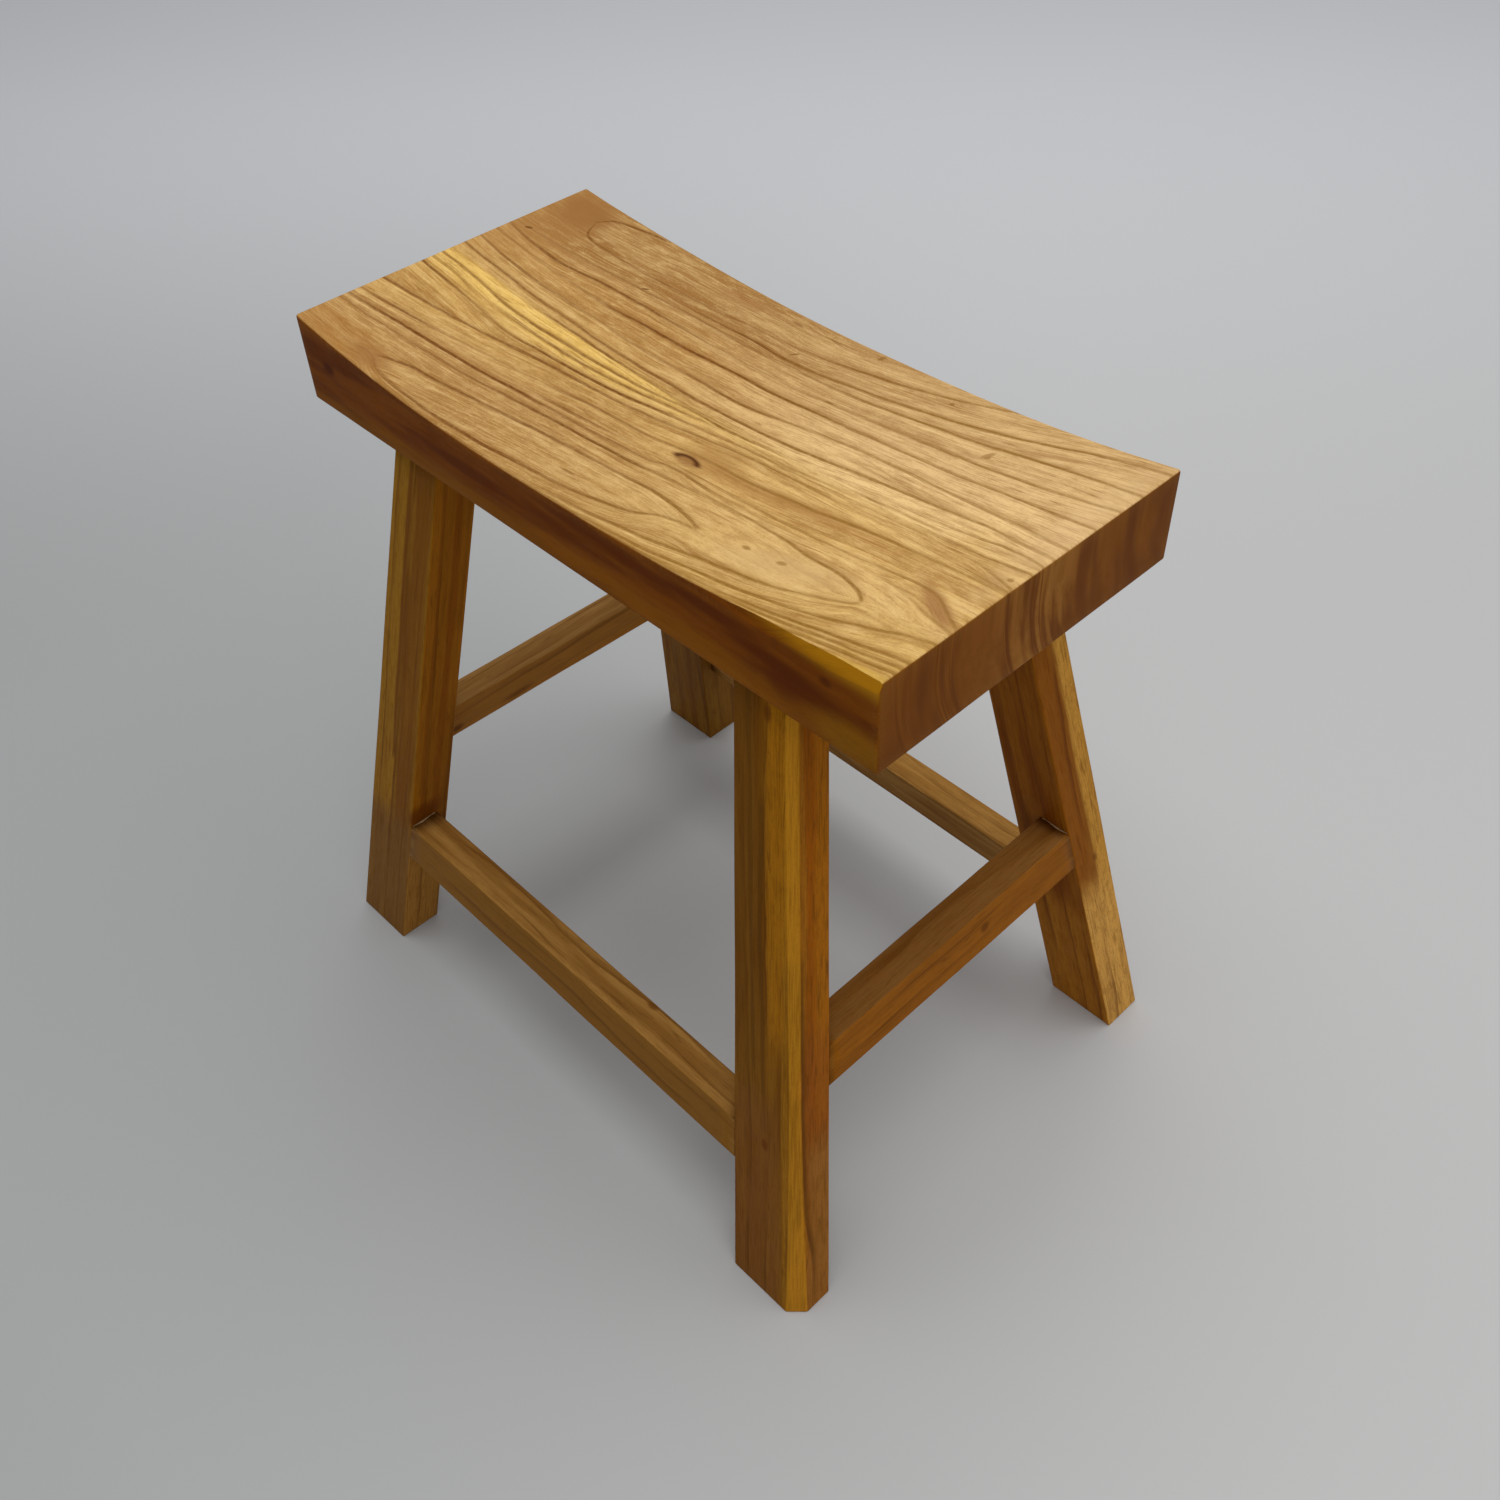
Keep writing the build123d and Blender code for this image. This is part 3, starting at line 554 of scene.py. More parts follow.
def build_rings_group():
    """Growth rings about a heart that lies off the piece, with uneven spacing and strength."""
    build, takes, gives = new_group(
        "growth_rings", ("Place", "Heart", "Ring width", "Wander", "Seed"), ("Line", "Late wood", "Ring")
    )
    seed, sway = takes["Seed"], takes["Wander"]
    along, across, up = build.split(takes["Place"])
    drift_place = build.join(build.times(along, 0.009), seed, build.times(up, 0.01))
    drift = build.vector("SUBTRACT", build.noise(drift_place, out="Color"), (0.5, 0.5, 0.5))
    drift = build.vector("MULTIPLY", drift, build.join(0.0, sway, sway))
    spot = build.vector("ADD", build.join(0.0, across, up), drift)
    far = build.vector("LENGTH", build.vector("SUBTRACT", spot, takes["Heart"]))
    count = build.math("DIVIDE", far, takes["Ring width"])
    uneven = build.noise(build.join(build.times(count, 0.6), seed, 0.0), detail=1.0)
    count = build.math("MULTIPLY_ADD", uneven, 1.6, count)
    part = build.math("FRACT", count)
    whole = build.math("FLOOR", count)
    strength = build.noise(build.join(build.times(along, 0.010), build.times(whole, 7.31), seed), detail=1.0)
    strength = build.spread(strength, 0.34, 0.66, 0.08, 1.0)
    line = build.times(build.spread(part, 0.80, 0.95), build.spread(part, 0.97, 1.0, 1.0, 0.0))
    build.feed(gives["Line"], build.times(line, strength))
    build.feed(gives["Late wood"], build.times(build.math("POWER", part, 3.0), strength))
    build.feed(gives["Ring"], build.noise(build.join(whole, seed, 0.0), scale=3.7, detail=0.0))


def build_spot_group():
    """A soft oval spot at a place, for knots, pin marks and patches."""
    build, takes, gives = new_group(
        "oval_spot", ("Place", "Centre", "Size", "Turn", "Softness"), ("Spot", "Rim")
    )
    soft = takes["Softness"]
    away = build.vector("SUBTRACT", takes["Place"], takes["Centre"])
    feeds = ("Vector", away), ("Angle", takes["Turn"])
    turned = build.node("ShaderNodeVectorRotate", *feeds, rotation_type="Z_AXIS").outputs[0]
    far = build.vector("LENGTH", build.vector("DIVIDE", turned, takes["Size"]))
    build.feed(gives["Spot"], build.spread(far, build.minus(1.0, soft), build.plus(1.0, soft), 1.0, 0.0))
    build.feed(gives["Rim"], build.spread(build.gap(far, 1.0), 0.0, soft, 1.0, 0.0))


def build_stripe_group():
    """A soft stripe across a piece between two places along it."""
    build, takes, gives = new_group(
        "soft_stripe", ("Across", "Middle", "Half width", "Along", "Start", "End", "Softness"), ("Stripe",)
    )
    half, soft = takes["Half width"], takes["Softness"]
    off = build.gap(takes["Across"], takes["Middle"])
    body = build.spread(off, half, build.plus(half, soft), 1.0, 0.0)
    fade = build.times(soft, 5.0)
    enter = build.spread(takes["Along"], build.minus(takes["Start"], fade), takes["Start"])
    leave = build.spread(takes["Along"], takes["End"], build.plus(takes["End"], fade), 1.0, 0.0)
    build.feed(gives["Stripe"], build.times(body, build.times(enter, leave)))


def share_of(value, low, high):
    """How far a value is on the way from low to high, from 0 to 1."""
    return min(max((value - low) / (high - low), 0.0), 1.0)


def seat_share(x):
    """How far along the seat a place is, from 0 to 1."""
    return share_of(x, seat_low.x, seat_high.x)


def build_seat_lines_group():
    """The seat's drawn growth rings: dark lines, late wood, a ring number and a place across the grain."""
    build, takes, gives = new_group(
        "seat_growth_lines", ("Along", "Across"), ("Lines", "Late wood", "Ring", "Grain")
    )
    span = 2 * LINE_REACH
    core, edge, late_width = LINE_CORE / span, LINE_EDGE / span, LATE_WIDTH / span
    along = build.spread(takes["Along"], seat_low.x, seat_high.x, kind="LINEAR")
    across = build.math("DIVIDE", build.plus(takes["Across"], LINE_REACH), span)
    lines, late, ring, grain, last = 0.0, 0.0, 0.0, 0.0, None
    for number, (path, shades) in enumerate(CORNER_LOOP + SEAT_LINES):
        way = build.curve(along, [(seat_share(x), (y + LINE_REACH) / span) for x, y in path])
        # A level lead-in and lead-out keep the curve from overshooting at its ends
        (start, first), (end, final) = shades[0], shades[-1]
        shades = ((start - LINE_LEAD, first),) + shades + ((end + LINE_LEAD, final),)
        depth = build.curve(along, [(seat_share(x), shade) for x, shade in shades])
        off = build.minus(across, way)
        line = build.spread(build.math("ABSOLUTE", off), core, edge, depth, 0.0)
        lines = build.math("MAXIMUM", line, lines)
        above = build.times(build.spread(off, -edge, 0.0), build.spread(off, 0.0, late_width, depth, 0.0))
        late = build.math("MAXIMUM", above, late)
        if number < len(CORNER_LOOP):
            continue
        # Each ring's grain is counted from the line behind it, so the fibre keeps to the line. It starts
        # far from the last ring's, so no two rings have the same fibre
        own_grain = build.math("MULTIPLY_ADD", off, span, number * RING_APART)
        if last is None:
            grain = own_grain
        else:
            grain = build.blend(build.math("LESS_THAN", off, 0.0), grain, own_grain)
            ring = build.plus(ring, build.spread(across, last, way, kind="LINEAR"))
        last = way
    build.feed(gives["Lines"], build.math("POWER", lines, 0.75))
    build.feed(gives["Late wood"], late)
    build.feed(gives["Ring"], build.math("DIVIDE", ring, len(SEAT_LINES) - 1.0))
    build.feed(gives["Grain"], grain)


def new_material(name):
    """A material with a lacquer shader. Gives the material, its tree and the shader."""
    material = bpy.data.materials.new(name)
    material.use_nodes = True
    material.node_tree.nodes.clear()
    build = Tree(material.node_tree)
    shader = build.node("ShaderNodeBsdfPrincipled")
    shader.inputs["IOR"].default_value = 1.45
    shader.inputs["Specular IOR Level"].default_value = 0.03
    shader.inputs["Specular Tint"].default_value = (1.0, 0.65, 0.30, 1.0)
    out = build.node("ShaderNodeOutputMaterial", ("Surface", shader.outputs[0]))
    out.is_active_output = True
    return material, build, shader


def set_surface(build, shader, colour, rough, height):
    """Feeds the shader with its colour, its roughness and a fine relief."""
    strength, distance = 0.25, 0.4 * MM
    bump = build.node("ShaderNodeBump", ("Height", height), ("Strength", strength), ("Distance", distance))
    for name, value in (("Base Color", colour), ("Roughness", rough), ("Normal", bump.outputs[0])):
        build.feed(shader.inputs[name], value)


def set_lacquer(build, shader, colour, finish, fibre, lines, gloss_change, streak_rise, pore_depth):
    """Satin lacquer over wood: an uneven gloss, raised streaks, and sunk lines and pores."""
    least, most = (finish.roughness + change for change in gloss_change)
    rough = build.spread(fibre["Mottle"], -1.0, 1.0, least, most)
    sunk = build.plus(lines, build.times(fibre["Pores"], pore_depth))
    set_surface(build, shader, colour, rough, build.minus(build.times(fibre["Streaks"], streak_rise), sunk))


def wear_and_highlight_share(build, fibre, most):
    """How much an eased edge is worn and painted with a highlight, in specks."""
    speck = build.spread(fibre["Speckle"], -0.4, 1.0, 0.02, most)
    return build.times(build.attribute("wear_and_highlight_edge", "Fac"), speck)


def lay_patches(build, place, colour, patches, softness):
    """Lays soft oval patches of other tints over a colour."""
    for centre, size, turn, tint, share in patches:
        spot = build.oval_spot(place, centre, size, turn, softness)["Spot"]
        colour = build.stain(colour, spot, share, tint)
    return colour


def seat_top_colour(build, finish, place, rings, fibre, lines):
    """Honey-brown top: tints that follow the rings, streaks, patches, dark lines and pores."""
    ring = build.plus(rings["Ring"], build.times(fibre["Bands"], 0.012))
    along = build.split(place)[0]
    side = build.spread(build.plus(along, build.times(fibre["Mottle"], 12.0)), -80.0, 110.0)
    colour = build.mix(side, build.ramp(ring, LEFT_TINTS), build.ramp(ring, RIGHT_TINTS))
    lively = 1.0
    for calm_place in CALM_PLACES:
        calm = build.oval_spot(place, *calm_place)["Spot"]
        lively = build.times(lively, build.spread(calm, 0.0, 1.0, 1.0, 0.35))
    streak = build.times(fibre["Streaks"], lively)
    brown, pale = finish.late_colour, (0.86, 0.60, 0.26)
    for effect, start, full, share, tint, *kind in (
        (fibre["Bands"], 0.0, 1.0, 0.42, brown),
        (fibre["Bands"], 0.0, -1.0, 0.20, pale),
        (fibre["Mottle"], -0.3, 1.0, 0.34, brown),
        (fibre["Mottle"], 0.0, -1.0, 0.26, pale),
        (fibre["Speckle"], 0.0, 1.0, 0.24, brown),
        (fibre["Speckle"], 0.0, -1.0, 0.26, pale),
        (streak, 0.0, 1.0, 0.50, brown, "LINEAR"),
        (streak, 0.0, -1.0, 0.36, pale, "LINEAR"),
    ):
        colour = build.wash(colour, effect, start, full, share, tint, *kind)
    colour = build.stain(colour, build.times(fibre["Hairlines"], lively), 0.55, brown)
    colour = build.stain(colour, rings["Late wood"], 0.55, brown)
    colour = lay_patches(build, place, colour, TOP_PATCHES, 0.55)
    colour = build.mix(lines, colour, build.mix(side, finish.line_colour, finish.right_line_colour))
    return build.stain(colour, fibre["Pores"], 0.30, brown)


def seat_end_colour(build, place, rings, fibre, lines):
    """End grain: steep streaks in two browns, with paler ones towards the middle."""
    y, z = build.split(place)[1:]
    streak_place = build.join(build.times(rings["Ring"], 21.0), 4.0, build.times(z, 0.012))
    streak = build.noise(streak_place, detail=2.5, rough=0.55)
    colour = build.mix(build.spread(streak, 0.34, 0.66), (0.160, 0.042, 0.003), (0.250, 0.080, 0.006))
    middle = build.spread(build.gap(y, 5.0), 0.0, 48.0, 0.55, 0.0)
    colour = build.stain(colour, middle, build.spread(streak, 0.44, 0.60), (0.46, 0.200, 0.036))
    colour = build.stain(colour, lines, 0.10, (0.13, 0.036, 0.006))
    return build.wash(colour, fibre["Mottle"], -0.4, 1.0, 0.4, (0.19, 0.060, 0.007))


def seat_side_colour(build, place, fibre):
    """Long sides: broad soft bands of dark orange-brown, with the front's own marks."""
    band = build.noise(place, (0.010, 0.04, 0.075), detail=3.0, rough=0.55)
    colour = build.mix(build.spread(band, 0.36, 0.64), (0.130, 0.028, 0.002), (0.222, 0.060, 0.003))
    colour = lay_patches(build, place, colour, SIDE_PATCHES, 0.55)
    return build.wash(colour, fibre["Streaks"], 0.0, 1.0, 0.25, (0.10, 0.026, 0.004))


def make_seat_material(finish):
    """Lacquered plank: drawn rings on the top with a painted sheen in its tints, end grain and deeper
    coloured sides.
    """
    material, build, shader = new_material("seat_wood")
    coordinates = build.node("ShaderNodeTexCoord").outputs
    place = build.vector("MULTIPLY", coordinates["Object"], (1 / MM, 1 / MM, 1 / MM))
    x, y, z = build.split(place)
    # The rings lean more and more from upright below the hollow
    drop = build.math("MAXIMUM", build.minus(RING_TURN, z), 0.0)
    lean = build.times(build.times(drop, drop), 0.006)
    shift = build.spread(build.noise(place, (0.035, 0.05, 0.05)), 0.25, 0.75, -0.4, 0.4, "LINEAR")
    across = build.plus(build.minus(y, lean), shift)
    rings = build.group("seat_growth_lines", along=x, across=across)
    # Fibre runs with the rings
    flow = build.join(x, rings["Grain"], build.times(drop, 0.6))
    fibre = build.group("wood_fibre", place=flow, seed=3.0)
    broken = build.spread(fibre["Streaks"], -1.0, 0.2, 0.70, 1.0)
    dotted = build.spread(build.noise(place, (0.30, 0.5, 0.5), detail=1.0), 0.3, 0.62, 0.7, 1.0)
    lines = build.times(rings["Lines"], build.times(broken, dotted))
    for centre, size, turn, share in TOP_MARKS:
        spot = build.oval_spot(place, centre, size, turn, 0.45)["Spot"]
        lines = build.math("MAXIMUM", lines, build.times(spot, share))
    top = seat_top_colour(build, finish, place, rings, fibre, lines)
    end = seat_end_colour(build, place, rings, fibre, lines)
    side = seat_side_colour(build, place, fibre)
    # The knot: a dark upper rim over a brown eye
    knot = build.oval_spot(place, *KNOT)
    top = build.stain(top, knot["Spot"], 0.62, (0.26, 0.110, 0.032))
    crescent = build.times(knot["Rim"], build.spread(y, *KNOT_RIM))
    top = build.stain(top, crescent, 0.95, (0.080, 0.022, 0.005))
    # Which face a point is on. The top is painted paler than the sides, partly as a painted sheen
    lengthwise, upward = build.split(coordinates["Normal"])[::2]
    colour = build.mix(build.spread(build.math("ABSOLUTE", lengthwise), 0.55, 0.80), side, end)
    colour = build.mix(build.spread(upward, 0.42, 0.80), colour, top)
    # Eased edges are painted paler in specks: partly wear, partly a painted edge highlight
    colour = build.mix(wear_and_highlight_share(build, fibre, 0.12), colour, (0.52, 0.28, 0.07))
    set_lacquer(build, shader, colour, finish, fibre, lines, (-0.04, 0.06), 0.25, 0.6)
    return material


def make_stock_material(
    name, finish, tints, heart, ring_width, seed, faces=(), stripes=(), spots=(), planed=()
):
    """Lacquered stick of wood, with the marks of this one piece."""
    material, build, shader = new_material(name)
    light, dark, deep = tints
    place = build.attribute("grain_place", "Vector")
    along, across, up = build.split(place)
    facing = build.node("ShaderNodeTexCoord").outputs["Normal"]
    fibre = build.group("wood_fibre", place=place, seed=seed)
    rings = build.group("growth_rings", place=place, heart=heart, ring_width=ring_width, wander=9, seed=seed)

    def toward(way, low, high):
        return build.spread(build.vector("DOT_PRODUCT", facing, way), low, high)

    tone = build.math("MULTIPLY_ADD", rings["Ring"], 0.8, 0.1)
    tone = build.math("MULTIPLY_ADD", fibre["Bands"], 0.45, tone)
    colour = build.mix(build.spread(tone, 0.1, 0.9), light, dark)
    for way, tint, share in faces:
        uneven = build.spread(tone, 0.0, 1.0, share, share * 0.6)
        colour = build.stain(colour, toward(way, 0.55, 0.85), uneven, tint)
    wobble = build.times(fibre["Bands"], 1.2)
    for way, middle, half, (start, end), softness, tint, share in stripes:
        stripe = build.group(
            "soft_stripe", across=build.plus(across if way == FRONT else up, wobble), middle=middle,
            half_width=half, along=along, start=start, end=end, softness=softness,
        )["Stripe"]
        colour = build.stain(colour, build.times(stripe, toward(way, 0.45, 0.75)), share, tint)
    colour = build.wash(colour, fibre["Mottle"], -0.2, 1.0, 0.30, dark)
    colour = build.wash(colour, fibre["Streaks"], 0.0, 1.0, 0.50, deep, "LINEAR")
    colour = build.wash(colour, fibre["Speckle"], 0.0, 1.0, 0.20, deep)
    colour = build.stain(colour, rings["Late wood"], 0.36, deep)
    colour = lay_patches(build, place, colour, spots, 0.5)
    line = build.math("MAXIMUM", build.times(rings["Line"], 0.62), build.times(fibre["Hairlines"], 0.50))
    colour = build.mix(line, colour, deep)
    colour = build.stain(colour, fibre["Pores"], 0.25, deep)
    for way, tint, share in planed:
        fresh = build.spread(fibre["Streaks"], -1.0, 1.0, share, share * 0.5)
        colour = build.stain(colour, toward(way, 0.80, 0.94), fresh, tint)
    # Eased edges are painted paler in specks: partly wear, partly a painted edge highlight
    colour = build.mix(wear_and_highlight_share(build, fibre, 0.20), colour, light)
    set_lacquer(build, shader, colour, finish, fibre, line, (-0.05, 0.07), 0.3, 0.5)
    return material


def leg_sizes(leg, height):
    """Reach of a leg's outer corner along X and Y, width and depth at a height, all without sign."""
    foot, head, foot_stock, head_stock = LEGS[leg][1:]
    rise = height / seat_low.z
    return [low * (1 - rise) + high * rise for low, high in zip(foot + foot_stock, head + head_stock)]


def inner_face(leg, height, axis):
    """Where a leg's inner side is, along X or along Y."""
    sizes = leg_sizes(leg, height)
    return LEGS[leg][0][axis] * (sizes[axis] - sizes[axis + 2])


def wander(along, length, phase):
    """Small inward drift of a hand-planed side, never negative. The phase tells one side from another."""
    total = 0.0
    for size, waves, start in WANDER:
        total += size * (1 + math.sin(2 * math.pi * waves * along / length + start + phase))
    return total


def planed_width(height):
    """Width of the planed corner at a height."""
    for (low, first), (high, second) in zip(PLANED_CORNER, PLANED_CORNER[1:]):
        if height <= high:
            break
    return first + (second - first) * share_of(height, low, high)


def dip(x, shares):
    """Depth of the hollow at a place along the seat, as a smooth curve through its stations."""
    stations = range(len(shares))
    place = seat_share(x) * stations[-1]
    total = 0.0
    for number, share in enumerate(shares):
        for other in stations:
            if other != number:
                share *= (place - other) / (number - other)
        total += share
    return total


def new_block():
    """A block from -1 to 1 each way, with a layer that marks eased edges for wear and a painted highlight.
    """
    bm = bmesh.new()
    edge_wear_and_highlight = bm.verts.layers.float.new("wear_and_highlight_edge")
    bmesh.ops.create_cube(bm, size=2.0)
    return bm, edge_wear_and_highlight


def long_edges(bm, axis):
    """Edges that run one way."""
    found = []
    for edge in bm.edges:
        way = edge.verts[1].co - edge.verts[0].co
        if abs(way[axis]) > 0.9 * way.length:
            found.append(edge)
    return found


def cut_across(bm, axis, cuts, longer_than=0.0):
    """Cuts the edges that run one way, where they are long enough."""
    edges = [edge for edge in long_edges(bm, axis) if edge.calc_length() > longer_than]
    bmesh.ops.subdivide_edges(bm, edges=edges, cuts=cuts, use_grid_fill=True)


def sharp_edges(edges):
    """The sharp ones of some edges."""
    return [edge for edge in edges if edge.calc_face_angle(0.0) > SHARP]


def bevel(bm, edges, amount, segments):
    """Bevels edges and gives back the vertices of the new strip."""
    return bmesh.ops.bevel(
        bm, geom=edges, offset=amount, offset_type="OFFSET", affect="EDGES", segments=segments,
        profile=0.5, material=-1, clamp_overlap=True,
    )["verts"]


def ease(bm, edges, amount, segments, edge_wear_and_highlight):
    """Rounds edges and marks the new strip for wear and a painted highlight."""
    for vert in bevel(bm, edges, amount / MM, segments):
        vert[edge_wear_and_highlight] = 1.0


def plane_front_edge(bm, edge_wear_and_highlight):
    """Planes a steep facet down the seat's upper front edge, deeper towards its right end."""
    for vert in bm.verts:
        x, y, z = vert.co
        share = share_of(x, FACET_START, FACET_FULL)
        share = share * share * (3 - 2 * share) * (0.9 + 0.1 * math.sin(x / FACET_WAVE))
        # The small amounts keep the divisions from zero
        inward, down = 0.01 + FACET_BACK * share, 0.01 + FACET_DOWN * share
        back, drop = max(y - seat_low.y, 0.001), max(seat_high.z - z, 0.001)
        reach = back / inward + drop / down
        if reach < 1.0:
            vert[edge_wear_and_highlight] *= 1 - share
            vert.co.y = seat_low.y + back / reach
            vert.co.z = seat_high.z - drop / reach


def put(name, data, place=(0.0, 0.0, 0.0), turn=(0.0, 0.0, 0.0)):
    """Puts a new object into the scene."""
    made = bpy.data.objects.new(name, data)
    made.location = place
    made.rotation_euler = Euler(turn)
    bpy.context.scene.collection.objects.link(made)
    return made


def put_mesh(name, bm, material):
    """Turns a bmesh in metres into an object at the origin."""
    mesh = bpy.data.meshes.new(name)
    bm.to_mesh(mesh)
    bm.free()
    mesh.materials.append(material)
    return put(name, mesh)


def finish_piece(name, node, bm, material):
    """Turns a bmesh in millimetres into a piece. It stands for a node of the frame, if one is named."""
    bmesh.ops.remove_doubles(bm, verts=bm.verts, dist=0.001)
    bmesh.ops.recalc_face_normals(bm, faces=bm.faces)
    bmesh.ops.scale(bm, vec=(MM, MM, MM), verts=bm.verts)
    piece = put_mesh(name, bm, material)
    piece.data.shade_smooth()
    weighted = piece.modifiers.new("even_shading", "WEIGHTED_NORMAL")
    weighted.keep_sharp = True
    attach(piece, "root")
    if node:
        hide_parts(node)


def finish_stock(prefix, name, bm, finish, grain_place):
    """Writes where each point lies in its wood, along it and across it, and finishes a leg or a rail."""
    grain = bm.verts.layers.float_vector.new("grain_place")
    for vert in bm.verts:
        vert[grain] = Vector(grain_place(vert.co))
    material = make_stock_material(name + "_wood", finish, **STOCK_LOOKS[name])
    finish_piece(prefix + name, name, bm, material)


def make_seat(shape, finish):
    """Makes the seat plank: cuts the block, eases and planes its edges, then hollows its top."""
    bm, edge_wear_and_highlight = new_block()
    bmesh.ops.scale(bm, vec=seat_size / 2, verts=bm.verts)
    bmesh.ops.translate(bm, vec=(seat_high + seat_low) / 2, verts=bm.verts)
    for axis, cuts in enumerate(SEAT_CUTS):
        cut_across(bm, axis, cuts)
    ease(bm, sharp_edges(bm.edges), shape.seat_ease, 4, edge_wear_and_highlight)
    for inset in EDGE_CUTS:
        for corner, normal in ((seat_low, Vector((0.0, 1.0, 0.0))), (seat_high, Vector((0.0, 0.0, -1.0)))):
            everything = bm.verts[:] + bm.edges[:] + bm.faces[:]
            place = corner + inset * normal
            bmesh.ops.bisect_plane(bm, geom=everything, plane_co=place, plane_no=normal)
    plane_front_edge(bm, edge_wear_and_highlight)
    for vert in bm.verts:
        x, y, z = vert.co
        back = (y - seat_low.y) / seat_size.y
        low = shape.dip_depth / MM * (dip(x, FRONT_DIP) * (1 - back) + dip(x, BACK_DIP) * back)
        # The ripple fades out close to the ends
        ripple = RIPPLE * (1 + math.sin(x / RIPPLE_ALONG + y / RIPPLE_ACROSS + 0.8))
        low += ripple * (1 - abs(x / seat_high.x) ** 8)
        vert.co.z = z - low * share_of(z, seat_low.z, seat_high.z - HOLLOW_RIM)
        at_end = 1 - min((seat_high.x - abs(x)) / SIDE_DEPTH, 1.0)
        at_side = 1 - min((seat_high.y - abs(y)) / SIDE_DEPTH, 1.0)
        vert.co.x -= math.copysign(wander(y, seat_size.y, 2.0) * at_end, x)
        vert.co.y -= math.copysign(wander(x, seat_size.x, 0.5 if y > 0 else 3.0) * at_side, y)
    finish_piece("dished_seat", "seat", bm, make_seat_material(finish))


def make_leg(leg, number, shape, finish):
    """Makes one splayed, tapered leg. A planed corner is cut off first, and gets its size with the rest."""
    way = LEGS[leg][0]
    bm, edge_wear_and_highlight = new_block()
    if leg == PLANED_LEG:
        outer = [
            edge for edge in long_edges(bm, 2)
            if all(vert.co.x * way[0] > 0 and vert.co.y * way[1] > 0 for vert in edge.verts)
        ]
        bevel(bm, outer, 0.3, 1)
    cut_across(bm, 2, LEG_CUTS)
    for vert in bm.verts:
        sides = [vert.co[axis] * way[axis] for axis in (0, 1)]
        height = (vert.co.z + 1) / 2 * seat_low.z
        sizes = leg_sizes(leg, height)
        drift = wander(height, seat_low.z, number * 1.9 + sides[0] + 2 * sides[1])
        spot = [
            reach - drift if side > 0 else reach - thick + drift
            for side, reach, thick in zip(sides, sizes, sizes[2:])
        ]
        if leg == PLANED_LEG and min(sides) > 0:
            cut = sides.index(min(sides))
            spot[cut] = sizes[cut] - planed_width(height)
        vert.co = Vector((spot[0] * way[0], spot[1] * way[1], height))
    ease(bm, sharp_edges(long_edges(bm, 2)), shape.stock_ease, 3, edge_wear_and_highlight)
    sole = [edge for edge in bm.edges if all(vert.co.z < 0.01 for vert in edge.verts)]
    ease(bm, sharp_edges(sole), shape.foot_ease, 2, edge_wear_and_highlight)
    for axis in (0, 1):
        cut_across(bm, axis, 3, longer_than=12.0)

    def grain_place(place):
        reach_x, reach_y, width, depth = leg_sizes(leg, place.z)
        middle_x, middle_y = way[0] * (reach_x - width / 2), way[1] * (reach_y - depth / 2)
        return place.z, place.x - middle_x, place.y - middle_y

    finish_stock("splayed_", leg, bm, finish, grain_place)


def make_rail(rail, number, shape, finish):
    """Makes one rail, from leg to leg between their inner sides and flush with their outer ones."""
    start, end, axis, low, deep, thick = RAILS[rail]
    other = 1 - axis
    way = LEGS[start][0][other]
    bm, edge_wear_and_highlight = new_block()
    cut_across(bm, axis, RAIL_CUTS)
    for vert in bm.verts:
        share = (vert.co[axis] + 1) / 2
        height = low + (vert.co.z + 1) / 2 * deep
        first, second = (inner_face(leg, height, axis) for leg in (start, end))
        outer, outer_end = (leg_sizes(leg, height)[other] for leg in (start, end))
        outer = outer * (1 - share) + outer_end * share
        drift = wander(share, 1.0, number * 2.3 + vert.co.z)
        outer = outer - drift if vert.co[other] * way > 0 else outer - thick + drift
        spot = [0.0, 0.0, height - vert.co.z * drift * RAIL_RISE]
        spot[axis], spot[other] = first + (second - first) * share, outer * way
        vert.co = Vector(spot)
    ease(bm, sharp_edges(long_edges(bm, axis)), shape.stock_ease * RAIL_EASE, 3, edge_wear_and_highlight)

    def grain_place(place):
        outer = leg_sizes(start, place.z)[other]
        return place[axis], outer - place[other] * way, place.z - low

    finish_stock("tie_", rail, bm, finish, grain_place)


def make_putty_material(finish):
    """Dull pale putty with a fine grit."""
    material, build, shader = new_material("putty")
    grit = build.noise(build.node("ShaderNodeTexCoord").outputs["Object"], scale=900.0)
    dull = [value * 0.6 for value in finish.putty_colour]
    colour = build.mix(build.spread(grit, 0.35, 0.7), finish.putty_colour, dull)
    set_surface(build, shader, colour, build.spread(grit, 0.3, 0.7, 0.55, 0.75), grit)
    return material


def make_putty_line(name, shape, material):
    """Makes an uneven line of putty across the top of a joint."""
    rail, leg = PUTTY[name]
    axis, low, deep, thick = RAILS[rail][2:]
    other = 1 - axis
    way = LEGS[leg][0]
    height = low + deep - PUTTY_SUNK
    bm = bmesh.new()
    bmesh.ops.create_cube(bm, size=2.0)
    cut_across(bm, other, PUTTY_CUTS)
    for vert in bm.verts:
        across = (vert.co[other] * way[other] + 1) / 2
        swell = shape.putty_width / MM * (0.55 + 0.45 * math.sin(7.0 * across + len(name)))
        proud = swell if vert.co[axis] * way[axis] < 0 else -PUTTY_ROOT
        inner = leg_sizes(leg, height)[other] - thick
        spot = [0.0, 0.0, height + PUTTY_HALF * vert.co.z]
        spot[axis] = inner_face(leg, height, axis) - way[axis] * proud
        spot[other] = way[other] * (inner + PUTTY_INSET + across * (thick - 2 * PUTTY_INSET))
        vert.co = Vector(spot)
    bevel(bm, sharp_edges(bm.edges), PUTTY_EASE, 2)
    finish_piece(name, None, bm, material)


